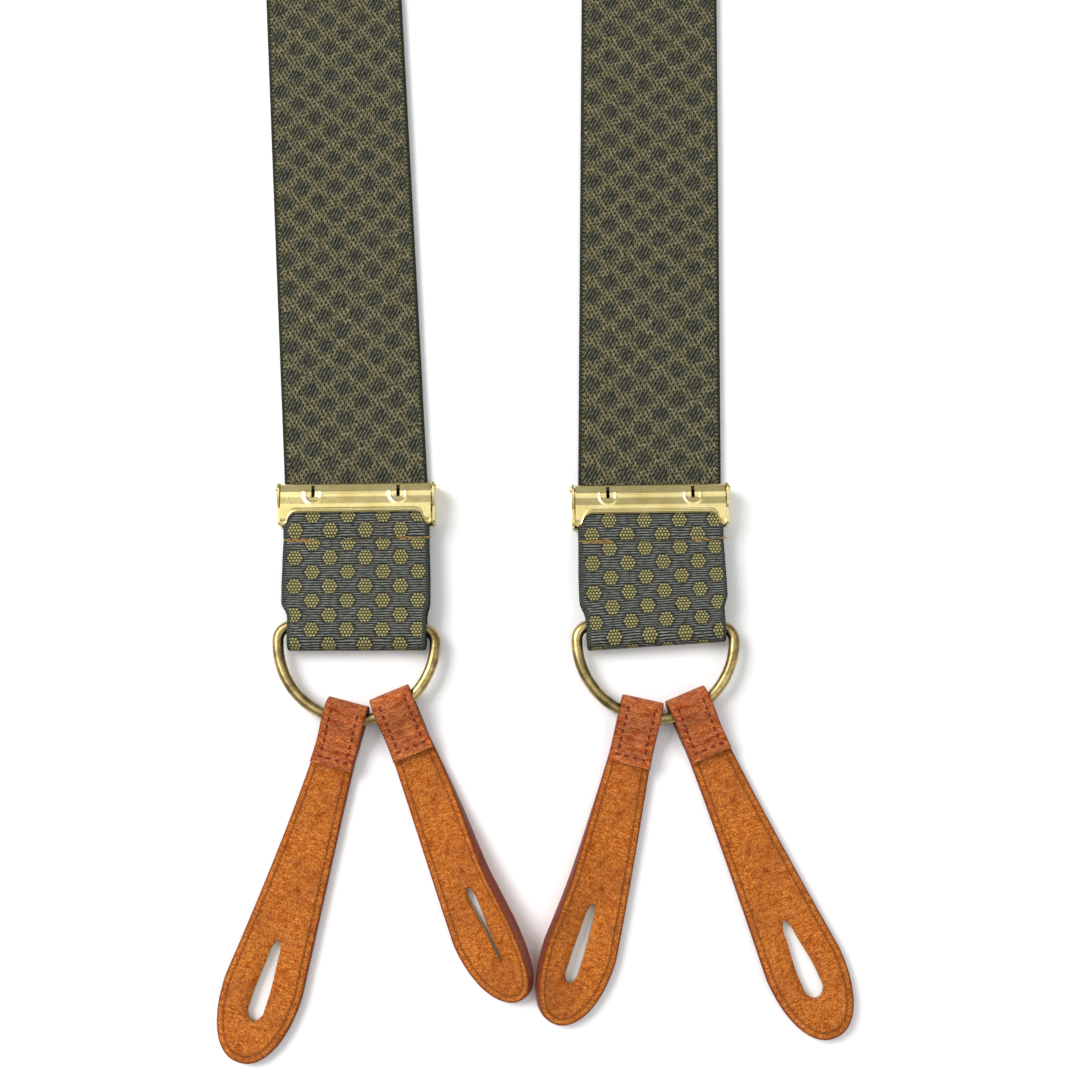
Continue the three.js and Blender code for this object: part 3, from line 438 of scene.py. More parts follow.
def webbing_reverse():
    """Round dots of gold beads on a slate ground with fine cross ribs, with painted shade on the
    ground round each dot and each bead painted lighter at its crown and darker at its rim.
    """
    look = Look("webbing_reverse")
    u, v, edge = look.place()
    sway = look.noise(look.vector(u, v), 0.3, 2.0) - 0.5
    u2, v2 = u + sway * 0.3, v + sway * 0.25
    bead_wide, bead_high = FIGURE_ACROSS / 11, FIGURE_ALONG / 10
    row = (v2 / bead_high).round()
    shift = (row * 0.5).wrap(0.5).size() * bead_wide
    column = ((u2 - shift) / bead_wide).round()
    bead_u, bead_v = column * bead_wide + shift, row * bead_high
    across, along = (u2 - bead_u) / (bead_wide * 0.56), (v2 - bead_v) / (bead_high * 0.62)
    dome = (1 - (across * across + along * along)).over(0.0)

    def dot(du, dv):
        return ((du / 1.95) ** 2 + (dv / 1.9) ** 2).step(0.85, 1.1, 1.0, 0.0)

    # Painted shade: the ground is darkened in a ring round each raised dot.
    def dot_shade_ring(du, dv):
        return ((du / 2.75) ** 2 + (dv / 2.6) ** 2).step(0.5, 1.2, 1.0, 0.0)

    inside = figure_spot(look, (bead_u + u2) / 2, (bead_v + v2) / 2, dot)
    shade = figure_spot(look, u2, v2, dot_shade_ring)
    fibre = look.noise(look.vector(u * 0.35, v * 2.2), 1.5, 3.0, 0.75)
    fine = look.noise(look.vector(u, v), 2.8, 2.0, 0.6)
    rib = (v + sway * 0.4).wave(0.64)
    ground_light = (rib**1.4) * (fibre * 3.4 - 1.05).over(0.0) * (1 - shade * 0.6)
    ground = look.mix(ground_light, srgb(22, 23, 18), srgb(170, 172, 164))
    # Painted highlight and shade: each bead is lighter at its crown and darker towards its rim and
    # in the gaps.
    gold = look.mix((dome**1.3) * (fine * 1.5), srgb(22, 20, 2), srgb(204, 196, 138))
    colour = look.mix(inside, ground, gold)
    selvedge = look.mix(v.wave(0.63) * 0.8, srgb(42, 46, 42), srgb(92, 97, 90))
    colour = look.mix(edge.step(0.85, 1.1, 1.0, 0.0), colour, selvedge)
    height = inside * (dome * 0.8 + 0.6) + (1 - inside) * ground_light * 0.5
    return look.finish(colour, 0.88, height, 0.4, specular=0.03)


def leather_base(look, stretch, dark, mid, light):
    """Mottled leather colour with pebbles and painted shade in the creases between them, the height
    of the pebbles and the mottling.
    """
    x, y, z = look.place()
    spot = look.vector(x * stretch[0], y * stretch[1], z)
    patches = look.noise(spot, 0.07, 3.0, 0.6)
    mottle = look.noise(spot, 0.45, 4.0, 0.65)
    speck = look.noise(spot, 2.1, 3.0, 0.8)
    pebble = look.cells(look.vector(x * stretch[0], y * stretch[1]), 1.6)
    # Painted shade: the colour is darkened in the creases between the pebbles.
    crease_shade = pebble.step(0.0, 0.17, 1.0, 0.0)
    colour = look.mix(patches.step(0.3, 0.7), mid, look.mix(mottle.step(0.35, 0.6), mid, light))
    streak = look.noise(look.vector(x * stretch[0], y * stretch[1] * 2.0, z), 0.7, 3.0, 0.7)
    colour = look.mix(speck.step(0.47, 0.61) * 0.62, colour, dark)
    colour = look.mix(speck.step(0.51, 0.38) * 0.62, colour, light)
    colour = look.mix(streak.step(0.5, 0.66) * 0.5, colour, dark)
    colour = look.mix(streak.step(0.48, 0.34) * 0.5, colour, light)
    colour = look.mix(crease_shade * 0.35, colour, dark)
    colour = look.mix(mottle.step(0.5, 0.7) * 0.4, colour, dark)
    colour = look.mix(patches.step(0.46, 0.6) * 0.4, colour, dark)
    height = pebble.step(0.0, 0.3) * 0.6 - speck * 1.1 + mottle * 0.3
    return colour, height, mottle


def tan_leather():
    """Pebbled orange-tan leather, with the sunk line of its stitching."""
    look = Look("tan_leather_grain")
    dark, mid, light = srgb(128, 42, 0), srgb(194, 103, 24), srgb(244, 162, 78)
    colour, height, mottle = leather_base(look, (1.0, 1.0), dark, mid, light)
    inset = look.inset()
    groove = ((inset - STITCH_INSET).size() / 0.4).step(0.2, 1.0, 1.0, 0.0)
    colour = look.mix(groove * 0.4, colour, srgb(116, 50, 14))
    colour = look.mix(inset.step(0.1, 0.7, 0.85, 0.0), colour, srgb(108, 44, 22))
    return look.finish(colour, mottle * 0.25 + 0.38, height - groove * 1.1, 0.2, specular=0.1)


def russet_leather():
    """Smoother, redder leather that wrinkles across where it is folded."""
    look = Look("russet_leather_grain")
    dark, mid, light = srgb(118, 24, 0), srgb(214, 100, 32), srgb(255, 172, 106)
    colour, height, mottle = leather_base(look, (0.7, 1.5), dark, mid, light)
    x, y, z = look.place()
    wrinkle = look.noise(look.vector(x * 0.3, y * 1.2, z), 0.7, 3.0, 0.65)
    inset = look.inset()
    colour = look.mix(wrinkle.step(0.5, 0.68) * 0.5, colour, dark)
    colour = look.mix(inset.step(0.0, 0.7, 0.7, 0.0), colour, srgb(124, 50, 24))
    return look.finish(colour, mottle * 0.2 + 0.36, height + wrinkle * 2.4, 0.22, specular=0.12)


def edge_paint():
    look = Look("edge_paint")
    x, y, z = look.place()
    blotch = look.noise(look.vector(x, y, z), 0.7, 3.0)
    colour = look.mix(blotch, srgb(78, 30, 22), srgb(136, 66, 48))
    return look.finish(colour, 0.5, blotch, 0.1)


def raw_edge():
    look = Look("raw_leather_edge")
    x, y, z = look.place()
    fibre = look.noise(look.vector(x, y, z * 4), 1.4, 4.0, 0.7)
    colour = look.mix(fibre, srgb(132, 116, 78), srgb(206, 184, 136))
    return look.finish(colour, 0.9, fibre, 0.2, specular=0.2)


def thread(name, dark, light):
    """Twisted sewing thread."""
    look = Look(name)
    x, y, z = look.place()
    twist = (x + y * 1.2 + z).wave(0.45)
    fuzz = look.noise(look.vector(x, y, z), 1.8, 2.0)
    colour = look.mix(twist * 0.6 + fuzz * 0.5, dark, light)
    return look.finish(colour, 0.7, twist, 0.08, specular=0.3)


def gilt():
    """Polished gilt plate with faint rubbing marks."""
    look = Look("gilt_polished")
    x, y, z = look.place()
    tarnish = look.noise(look.vector(x, y, z), 0.16, 3.0, 0.6)
    rubbed = look.noise(look.vector(x * 0.25, y * 3.0, z), 1.2, 3.0, 0.7)
    colour = look.mix(tarnish.step(0.35, 0.75), srgb(244, 228, 164), srgb(226, 204, 126))
    rough = rubbed * 0.12 + 0.16
    return look.finish(colour, rough, rubbed * 0.4 + tarnish, 0.012, metallic=1.0)


def antique_brass():
    """Dull brass wire, darker in patches and rubbed bright in others."""
    look = Look("antique_brass_wire")
    x, y, z = look.place()
    patina = look.noise(look.vector(x, y, z), 0.22, 4.0, 0.65)
    scratch = look.noise(look.vector(x * 0.6, y * 0.6, z * 3), 2.2, 3.0, 0.7)
    colour = look.mix(patina.step(0.36, 0.7), srgb(188, 166, 112), srgb(116, 98, 62))
    rough = patina * 0.25 + scratch * 0.12 + 0.16
    return look.finish(colour, rough, scratch * 0.5 + patina, 0.03, metallic=1.0)


def dark_steel():
    """The pin's shaft, blackened by oil inside the rolled lever."""
    look = Look("dark_steel")
    x, y, z = look.place()
    grime = look.noise(look.vector(x, y, z), 0.9, 3.0, 0.6)
    colour = look.mix(grime, srgb(44, 40, 34), srgb(92, 84, 68))
    return look.finish(colour, grime * 0.2 + 0.45, grime, 0.02, metallic=0.9)


def floor_white():
    look = Look("floor_white")
    x, y, z = look.place()
    paper = look.noise(look.vector(x, y, z), 0.8, 2.0)
    colour = look.mix(paper, srgb(250, 250, 250), srgb(252, 252, 252))
    return look.finish(colour, 0.95, paper, 0.005, specular=0.0)


MATERIALS = {
    "face": webbing_face(),
    "reverse": webbing_reverse(),
    "tan": tan_leather(),
    "russet": russet_leather(),
    "edge": edge_paint(),
    "raw": raw_edge(),
    "gold_thread": thread("gold_thread", srgb(98, 70, 30), srgb(204, 160, 92)),
    "tan_thread": thread("tan_thread", srgb(104, 52, 18), srgb(178, 104, 50)),
    "red_thread": thread("red_thread", srgb(78, 22, 8), srgb(146, 52, 26)),
    "slate_thread": thread("slate_thread", srgb(40, 42, 36), srgb(84, 82, 62)),
    "gilt": gilt(),
    "steel": dark_steel(),
    "brass": antique_brass(),
    "floor": floor_white(),
}


# ---- Meshes ----
def build(name, points, faces, looks, kinds=None, place=None, inset=None, sharp=40):
    """An object in the row frame from points in millimetres.

    looks are names of materials and kinds says which one each face has. place and inset are
    what each vertex carries for its material.
    """
    points = np.asarray(points, float)
    mesh = bpy.data.meshes.new(name)
    mesh.from_pydata((points / 1000).tolist(), [], [list(map(int, f)) for f in faces])
    for look in looks:
        mesh.materials.append(MATERIALS[look])
    if kinds is not None:
        mesh.polygons.foreach_set("material_index", np.asarray(kinds, np.int32))
    values = points if place is None else np.asarray(place, float)
    stored = mesh.attributes.new("place", "FLOAT_VECTOR", "POINT")
    stored.data.foreach_set("vector", values.astype(np.float32).ravel())
    if inset is not None:
        depth = mesh.attributes.new("inset", "FLOAT", "POINT")
        depth.data.foreach_set("value", np.asarray(inset, np.float32))
    mesh.validate()
    mesh.shade_smooth()
    mesh.set_sharp_from_angle(angle=math.radians(sharp))
    made = bpy.data.objects.new(name, mesh)
    bpy.context.scene.collection.objects.link(made)
    return made


def sweep(loops):
    """Vertices and faces of a tube through closed loops of points, without its ends."""
    rows, count = loops.shape[:2]
    index = np.arange(rows * count).reshape(rows, count)
    a, b = index[:-1], index[1:]
    faces = np.stack([a, b, np.roll(b, -1, 1), np.roll(a, -1, 1)], -1).reshape(-1, 4)
    return loops.reshape(-1, 3), faces


def shell(top, bottom, cut=None):
    """A closed sheet between two grids of points, with walls round its border and round the
    cells that cut leaves out. Kinds are 0 above, 1 below, 2 outer wall and 3 inner wall."""
    rows, columns = top.shape[:2]
    upper = np.arange(rows * columns).reshape(rows, columns)
    lower = upper + rows * columns
    cut = np.zeros((rows - 1, columns - 1), bool) if cut is None else cut
    faces, kinds = [], []

    def add(face, kind):
        faces.append(face)
        kinds.append(kind)

    for i in range(rows - 1):
        for j in range(columns - 1):
            if cut[i, j]:
                continue
            add((upper[i, j], upper[i, j + 1], upper[i + 1, j + 1], upper[i + 1, j]), 0)
            add((lower[i, j], lower[i + 1, j], lower[i + 1, j + 1], lower[i, j + 1]), 1)
            corners = [(i, j), (i, j + 1), (i + 1, j + 1), (i + 1, j)]
            beside = [(i - 1, j), (i, j + 1), (i + 1, j), (i, j - 1)]
            for k, (bi, bj) in enumerate(beside):
                outside = bi < 0 or bj < 0 or bi >= rows - 1 or bj >= columns - 1
                if outside or cut[bi, bj]:
                    p, q = corners[k], corners[(k + 1) % 4]
                    add((upper[q], upper[p], lower[p], lower[q]), 2 if outside else 3)
    points = np.concatenate([top.reshape(-1, 3), bottom.reshape(-1, 3)])
    return points, faces, kinds


def merge(made, distance=0.002):
    """Joins vertices that lie on each other, and turns the faces outwards."""
    cells = bmesh.new()
    cells.from_mesh(made.data)
    bmesh.ops.remove_doubles(cells, verts=cells.verts, dist=distance / 1000)
    bmesh.ops.recalc_face_normals(cells, faces=cells.faces)
    cells.to_mesh(made.data)
    cells.free()
    return made


def line_frames(line):
    """Unit tangents and normals of a line of [along, height] points."""
    tangent = np.gradient(line, axis=0)
    tangent /= np.linalg.norm(tangent, axis=1)[:, None]
    return tangent, np.stack([-tangent[:, 1], tangent[:, 0]], 1)


def lengths(line):
    """How far each point of a line lies along it."""
    return np.concatenate([[0], np.cumsum(np.linalg.norm(np.diff(line, axis=0), axis=1))])


def resample(line, pitch):
    """A smooth line through given points, with even steps of about pitch."""
    points = np.asarray(line, float)
    padded = np.concatenate([[2 * points[0] - points[1]], points, [2 * points[-1] - points[-2]]])
    fine = []
    for k in range(len(points) - 1):
        p0, p1, p2, p3 = padded[k : k + 4]
        for t in np.linspace(0, 1, 12, endpoint=False):
            square = (2 * p0 - 5 * p1 + 4 * p2 - p3) * t**2
            cube = (3 * p1 - p0 - 3 * p2 + p3) * t**3
            fine.append(0.5 * (2 * p1 + (p2 - p0) * t + square + cube))
    fine.append(points[-1])
    fine = np.array(fine)
    run = lengths(fine)
    even = np.linspace(0, run[-1], max(2, int(run[-1] / pitch) + 1))
    return np.stack([np.interp(even, run, fine[:, k]) for k in range(fine.shape[1])], 1)


def rounded(inset, radius):
    """How far a face falls at a place that lies inset from an edge rounded by radius."""
    return radius - np.sqrt(np.maximum(radius**2 - np.maximum(radius - inset, 0) ** 2, 0))


def arc(along, height, radius, start, end, steps):
    angle = np.radians(np.linspace(start, end, steps))
    return np.stack([along + radius * np.cos(angle), height + radius * np.sin(angle)], 1)


# ---- Webbing ----
EDGE_STOPS = np.array([0.0, 0.1, 0.3, 0.6, 1.0, 1.5])


def web_section(low, high):
    """Across places from one edge to the other, and the half thickness at each."""
    middle = np.linspace(low + 2.4, high - 2.4, 15)
    across = np.concatenate([low + EDGE_STOPS, middle, high - EDGE_STOPS[::-1]])
    depth = np.minimum(across - low, high - across)
    round_edge = np.clip(depth / 0.6, 0, 1)
    return across, depth, WEB_THICKNESS / 2 * np.sqrt(1 - (1 - round_edge) ** 2)


def ribbon(name, point, rows, limits, figure, looks=("face", "reverse")):
    """A length of webbing. point(i, across, offset) gives row-frame points of row i, limits(i)
    its two edges and figure(i, across) its place in the weave."""
    loops, places = [], []
    for i in range(rows):
        across, depth, half = web_section(*limits(i))
        u, v = figure(i, across)
        upper = point(i, across, half)
        lower = point(i, across[1:-1], -half[1:-1])
        loops.append(np.concatenate([upper, lower[::-1]]))
        carried = np.stack([u, np.broadcast_to(v, u.shape), depth], 1)
        places.append(np.concatenate([carried, carried[1:-1][::-1]]))
    loops = np.array(loops)
    count = len(web_section(0, WEB_WIDTH)[0])
    points, faces = sweep(loops)
    around = loops.shape[1]
    kinds = [0 if k % around < count - 1 else 1 for k in range(len(faces))]
    last = (rows - 1) * around
    faces = faces.tolist() + [list(range(around))[::-1], list(range(last, last + around))]
    places = np.array(places).reshape(-1, 3)
    made = build(name, points, faces, looks, kinds + [0, 0], places, sharp=60)
    return merge(made, 0.001)


def bend_loop(side, x, y, lean):
    """Where a point of a front end's webbing lies once the loop has turned in its plane."""
    turn, wrap_y, _ = LOOPS[side]
    drift = math.tan(lean) * np.maximum(y - LEAN_START, 0)
    rate = math.radians(turn) / -wrap_y
    run = np.minimum(-y, -wrap_y)
    angle = rate * run
    beyond = -y - run
    bent_x = (1 - np.cos(angle)) / rate + np.sin(angle) * beyond + np.cos(angle) * x
    bent_y = -np.sin(angle) / rate - np.cos(angle) * beyond + np.sin(angle) * x
    above = y >= 0
    return np.where(above, x + drift, bent_x), np.where(above, y, bent_y)


def strap_direction(side):
    return np.array(JOINTS[side + "_adjuster_slide"]["axis"][:2])


def strap_lean(side):
    """How far the strap leans from its adjuster's own +Y."""
    way = strap_direction(side)
    return math.atan2(way[0], way[1]) + FRONT[side].turn


def loop_limits(side, y):
    _, wrap_y, ring_shift = LOOPS[side]
    pinch = smooth((wrap_y + WRAP_PINCH_START - y) / WRAP_PINCH_LENGTH)
    full = WEB_WIDTH / 2 + 0.25 * smooth(-y / 12)
    half = full * (1 - pinch) + WRAP_WIDTH / 2 * pinch
    return ring_shift * pinch - half, ring_shift * pinch + half


def loop_ribbon(name, side, line, lean):
    """Webbing that follows a line of [y, z] points in a front end's frame."""
    _, normal = line_frames(line)
    u0, _, v0 = FIGURE_PLACE[side]

    def point(i, across, offset):
        square = across * math.tan(lean) * np.clip(line[i, 0] / STRAP_SPLIT, 0, 1)
        y = line[i, 0] + normal[i, 0] * offset - square
        z = line[i, 1] + normal[i, 1] * offset
        bent = bend_loop(side, across, y, lean)
        return np.stack([*FRONT[side].out(*bent), z], 1)

    def figure(i, across):
        return across - u0, line[i, 0] / FIGURE_STRETCH - v0

    return ribbon(name, point, len(line), lambda i: loop_limits(side, line[i, 0]), figure)


def loop_back(side):
    """The ply behind the adjuster, down to the ring."""
    wrap_y = LOOPS[side][1]
    y = np.linspace(STRAP_SPLIT + 0.06, wrap_y, 60)
    line = np.stack([y, np.full_like(y, STRAP_Z)], 1)
    made = loop_ribbon(side + "_webbing_behind", side, line[::-1], strap_lean(side))
    top = FRONT[side].out(*bend_loop(side, 0.0, STRAP_SPLIT, strap_lean(side)))
    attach(made, "straps")
    anchor = (top[0] / 1000, top[1] / 1000, STRAP_Z / 1000)
    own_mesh(made)
    return made


def loop_front(side):
    """The ply that comes up in front, turned over the adjuster's lower bar and sewn."""
    wrap_y = LOOPS[side][1]
    wrap = arc(wrap_y, RING_Z, WRAP_RADIUS, -90, -270, 26)
    rise_y = np.linspace(wrap_y + 0.6, 0.0, 44)
    share = smooth((rise_y - wrap_y) / (-8 - wrap_y))
    rise_z = (RING_Z + WRAP_RADIUS) * (1 - share) + HEM_FRONT_Z * share
    rise_z -= 0.55 * np.exp(-(((rise_y - SEAM_Y) / 0.7) ** 2))
    rise_z += 0.12 * np.sin(rise_y * 0.9)
    over_y = np.linspace(0.6, HEM_BAR_Y - 0.4, 9)
    over = np.stack([over_y, HEM_FRONT_Z + 0.15 * np.sin(np.pi * over_y / HEM_BAR_Y)], 1)
    hem = arc(HEM_BAR_Y, HEM_BAR_Z, HEM_RADIUS, 90, -90, 16)
    tail_y = np.linspace(HEM_BAR_Y - 0.5, HEM_TAIL_END, 14)
    tail = np.stack([tail_y, np.full_like(tail_y, HEM_TAIL_Z)], 1)
    line = np.concatenate([wrap, np.stack([rise_y, rise_z], 1), over, hem, tail])
    line = np.concatenate([line[:1], line[1:][np.diff(line, axis=0).any(1)]])
    _, normal = line_frames(line)
    u0, v0, _ = FIGURE_PLACE[side]
    run = lengths(line)
    start = wrap_y - run[25]

    def point(i, across, offset):
        y = line[i, 0] - normal[i, 0] * offset
        z = line[i, 1] - normal[i, 1] * offset
        bent = bend_loop(side, across, y, 0)
        return np.stack([*FRONT[side].out(*bent), z], 1)

    def figure(i, across):
        return across - u0, start + run[i] - v0

    def limits(i):
        return loop_limits(side, line[i, 0])

    made = ribbon(side + "_webbing_in_front", point, len(line), limits, figure)
    for y in (HEM_TAIL_END - 0.5, wrap_y + 4.0):
        spot = FRONT[side].out(*bend_loop(side, 0.0, y, 0))
        tuple(c / 1000 for c in (*spot, HEM_FRONT_Z))
    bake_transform(made)
    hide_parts(side + "_strap_loop")
    return made


def strap_curve(side):
    """The middle of a front strap from the split to the patch, with its directions."""
    up = strap_direction(side)
    lean = strap_lean(side)
    low = np.array(FRONT[side].out(*bend_loop(side, 0.0, STRAP_SPLIT, lean)))
    hand = math.copysign(1, FRONT[side].origin[0] - CENTRE_X)
    arrive = np.array([-hand * math.sin(math.radians(13)), math.cos(math.radians(13))])
    bend = low + up * (STRAP_STRAIGHT - STRAP_SPLIT)
    finish = np.array([CENTRE_X + hand * 8.5, PATCH_LOW[1] + PATCH_OVERLAP])
    free = STRAP_REACH - STRAP_STRAIGHT
    handles = [bend, bend + up * free * 0.38, finish - arrive * free * 0.45, finish]
    t = np.linspace(0, 1, 200)[:, None]
    weights = [(1 - t) ** 3, 3 * t * (1 - t) ** 2, 3 * t**2 * (1 - t), t**3]
    curve = sum(weight * handle for weight, handle in zip(weights, handles))
    straight = low + (bend - low) * np.linspace(0, 1, 60, endpoint=False)[:, None]
    line = np.concatenate([straight, curve])
    return resample(line, 2.6), hand


def strap_height(y):
    """Clear of the adjuster over its travel, then down on the surface, then into the patch."""
    start = FRONT["left"].origin[1]
    down = smooth((y - start - STRAP_STRAIGHT) / 30)
    rise = smooth((y - (PATCH_LOW[1] - 28)) / 22)
    ground = WEB_THICKNESS / 2
    return STRAP_Z + (ground - STRAP_Z) * down + (PATCH_WEB_Z - ground) * rise


def front_strap(side):
    line, hand = strap_curve(side)
    way = np.gradient(line, axis=0)
    way /= np.linalg.norm(way, axis=1)[:, None]
    run = lengths(line) + STRAP_SPLIT
    half = WEB_WIDTH / 2
    u0, _, v0 = FIGURE_PLACE[side]

    def limits(i):
        inner = (hand * (CENTRE_X - line[i, 0]) + 0.4) / way[i, 1]
        edges = sorted([hand * half, hand * max(-half, inner)])
        return edges

    def point(i, across, offset):
        x = line[i, 0] + across * way[i, 1]
        y = line[i, 1] - across * way[i, 0]
        swell = 0.1 + 0.1 * math.sin(run[i] / 23) * np.sin(across / 7 + run[i] / 60)
        z = strap_height(line[i, 1]) + offset + swell * smooth((run[i] - 60) / 60)
        return np.stack([x, y, np.broadcast_to(z, x.shape)], 1)

    def figure(i, across):
        return across - u0, run[i] / FIGURE_STRETCH - v0

    made = ribbon(side + "_webbing_strap", point, len(line), limits, figure)
    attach(made, "straps")
    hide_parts(side + "_strap")
    return made


def rear_strap():
    """The single strap from the patch to the rear ring, sewn back on itself."""
    pinch_start = JOINTS["rear_ring_swing"]["pos_m"][1] * 1000 - REAR_PINCH_START
    wrap_y = np.array(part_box("rear_strap")[1])[1] * 1000 - WRAP_RADIUS - WEB_THICKNESS / 2
    low = np.array(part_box("rear_strap")[0])[1] * 1000
    patch_end = PATCH_HIGH[1]
    ground = WEB_THICKNESS / 2
    return_z = ground + WEB_THICKNESS + WEB_GAP
    top_z = RING_Z + WRAP_RADIUS
    line = np.concatenate(
        [
            [[low, PATCH_WEB_Z], [patch_end + 1, PATCH_WEB_Z]],
            [[patch_end + 8, (PATCH_WEB_Z + ground) / 2], [patch_end + 16, ground]],
            [[wrap_y - 60, ground], [wrap_y - 24, ground], [wrap_y - 8, ground + 0.2]],
            arc(wrap_y, RING_Z, WRAP_RADIUS, -80, 80, 9),
            [[wrap_y - 5, top_z], [wrap_y - 12.5, (top_z + return_z) / 2]],
            [[wrap_y - 20, return_z], [wrap_y - REAR_RETURN, return_z]],
        ]
    )
    line = resample(line, 1.3)
    line[:, 1] = np.maximum(line[:, 1], ground)
    _, normal = line_frames(line)
    run = lengths(line)

    def limits(i):
        half = WEB_WIDTH / 2 - REAR_PINCH * smooth((line[i, 0] - pinch_start) / REAR_PINCH_LENGTH)
        return -half, half

    def point(i, across, offset):
        y = line[i, 0] + normal[i, 0] * offset
        z = line[i, 1] + normal[i, 1] * offset
        return np.stack([CENTRE_X + across, y, z], 1)

    def figure(i, across):
        return across, np.full_like(across, run[i] / FIGURE_STRETCH)

    made = ribbon("rear_webbing", point, len(line), limits, figure)
    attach(made, "straps")
    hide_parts("rear_strap")
    sew = []
    for y in (wrap_y - REAR_RETURN + 3, wrap_y - 20):
        for x in np.arange(-16.8, 17.0, 2.4):
            sew.append(((CENTRE_X + x, y, return_z + ground + 0.02), (1, 0, 0)))
    for x in (-16.8, 16.8):
        for y in np.arange(wrap_y - REAR_RETURN + 4.4, wrap_y - 20.5, 2.2):
            sew.append(((CENTRE_X + x, y, return_z + ground + 0.02), (0, 1, 0)))
    seam = stitches("rear_return_stitching", sew, 1.8, 0.3, "gold_thread")
    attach(seam, "straps")
    return made


# ---- Stitching ----
def stitches(name, sew, length, radius, look):
    """One mesh of short rounded stitches. sew lists the middle and direction of each."""
    sides, rings = 8, 7
    theta = np.linspace(0, math.pi, rings)
    phi = np.linspace(0, 2 * math.pi, sides, endpoint=False)
    along = -np.cos(theta)[:, None] * np.ones(sides)
    profile = np.sin(theta) ** 0.6
    side = profile[:, None] * np.cos(phi)
    up = profile[:, None] * np.sin(phi)
    index = np.arange(rings * sides).reshape(rings, sides)
    a, b = index[:-1], index[1:]
    base = np.stack([a, np.roll(a, -1, 1), np.roll(b, -1, 1), b], -1).reshape(-1, 4)
    points, faces, places = [], [], []
    for k, (middle, way) in enumerate(sew):
        way = np.array(way, float) / np.linalg.norm(way)
        across = np.cross([0, 0, 1.0], way)
        across /= np.linalg.norm(across)
        lift = np.cross(way, across)
        reach = length / 2 * RNG.uniform(0.9, 1.08)
        turn = RNG.uniform(-0.12, 0.12)
        way, across = way + across * turn, across - way * turn
        run, wide, high = along * reach, side * radius, up * radius
        body = np.array(middle) + run[..., None] * way + wide[..., None] * across
        body = body + (high * 0.85)[..., None] * lift
        points.append(body.reshape(-1, 3))
        places.append(np.stack([run + k * 3.1, wide, high], -1).reshape(-1, 3))
        faces.append(base + k * rings * sides)
    points, faces, places = (np.concatenate(part) for part in (points, faces, places))
    return merge(build(name, points, faces, [look], place=places, sharp=180), 0.0005)


def between(start, end):
    """The middle and direction of a stitch between two points."""
    return (start + end) / 2, end - start


def hem_stitching(side):
    """Gold back-tacked stitches at both ends of the hem's seam, slate ones between."""
    top = HEM_FRONT_Z + WEB_THICKNESS / 2
    ends, middle = [], []
    for x in np.arange(-17.9, 18.0, 2.1):
        tacked = abs(x) > 9.5
        y = SEAM_Y + RNG.uniform(-0.18, 0.18) + 0.9 * smooth((x - 6) / 12)
        lift = top - (0.42 if tacked else 0.6)
        spot = (*FRONT[side].out(x, y), lift)
        way = (math.cos(FRONT[side].turn), math.sin(FRONT[side].turn), 0)
        (ends if tacked else middle).append((spot, way))
        if tacked:
            second = (*FRONT[side].out(x + 0.9, y - 0.45), lift - 0.03)
            ends.append((second, (way[0], way[1] + RNG.uniform(-0.15, 0.15), 0)))
    for name, sew, look in (
        ("_hem_tacks", ends, "gold_thread"),
        ("_hem_seam", middle, "slate_thread"),
    ):
        made = stitches(side + name, sew, 2.0, 0.25, look)
        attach(made, side + "_adjuster")


# ---- Adjuster ----
def lever_lower_edge(x):
    """The lever's lower edge: straight between its legs, then rounded down each leg."""
    stops = [0, 15.0, 15.9, 16.6, 17.1, 17.5, 17.75, 17.95, 18.25, 18.7, 19.3, 19.7]
    edge = [6.2, 6.2, 6.12, 5.85, 5.45, 4.9, 4.3, 3.6, 3.1, 2.9, 2.95, 3.4]
    return np.interp(np.abs(x), stops, edge)


def lever_surface(x, y):
    """Height of the lever's plate: a crowned band, a turned lower lip and ridges."""
    crown = np.interp(
        y,
        [2.8, 4.5, 6.2, 7.4, 8.4, 9.4, 10.3, 11.0, 11.7, 12.1],
        [7.35, 7.72, 7.9, 8.0, 7.98, 7.82, 7.68, 7.66, 7.72, 7.52],
    )
    depth = y - lever_lower_edge(x)
    lip = -0.34 * np.exp(-((depth / 0.22) ** 2)) - 0.14 * np.exp(-(((depth - 0.85) / 0.25) ** 2))
    ridge = np.zeros_like(crown)
    for centre in (-SLIT_OFFSET, SLIT_OFFSET):
        dx, dy = x - centre, np.minimum(y - RIDGE_CENTRE_Y, 0)
        ring = np.hypot(dx, dy)
        fade = smooth((12.1 - y) / 0.6)
        ridge += RIDGE_HEIGHT * np.exp(-(((ring - RIDGE_RADIUS) / 0.38) ** 2)) * fade
        ridge += 0.04 * np.exp(-(((ring - 1.15) / 0.3) ** 2)) * fade
    band = 0.07 * np.exp(-(((y - 11.3) / 0.16) ** 2)) * (np.abs(x) < SLIT_OFFSET - 2.6)
    return crown + lip + ridge + band


def column_stops():
    """Across places of the lever's columns, close together at slits, ridges and legs."""
    near_slit = np.concatenate(
        [np.arange(8.6, 10.6, 0.17), [10.7, 11.15, 11.6], np.arange(11.77, 13.9, 0.17)]
    )
    half = np.concatenate(
        [np.arange(0, 8.6, 0.8), near_slit, np.arange(14.2, 17.0, 0.4), np.arange(17.1, 19.71, 0.13)]
    )
    return np.unique(np.round(np.concatenate([-half, half]), 4))


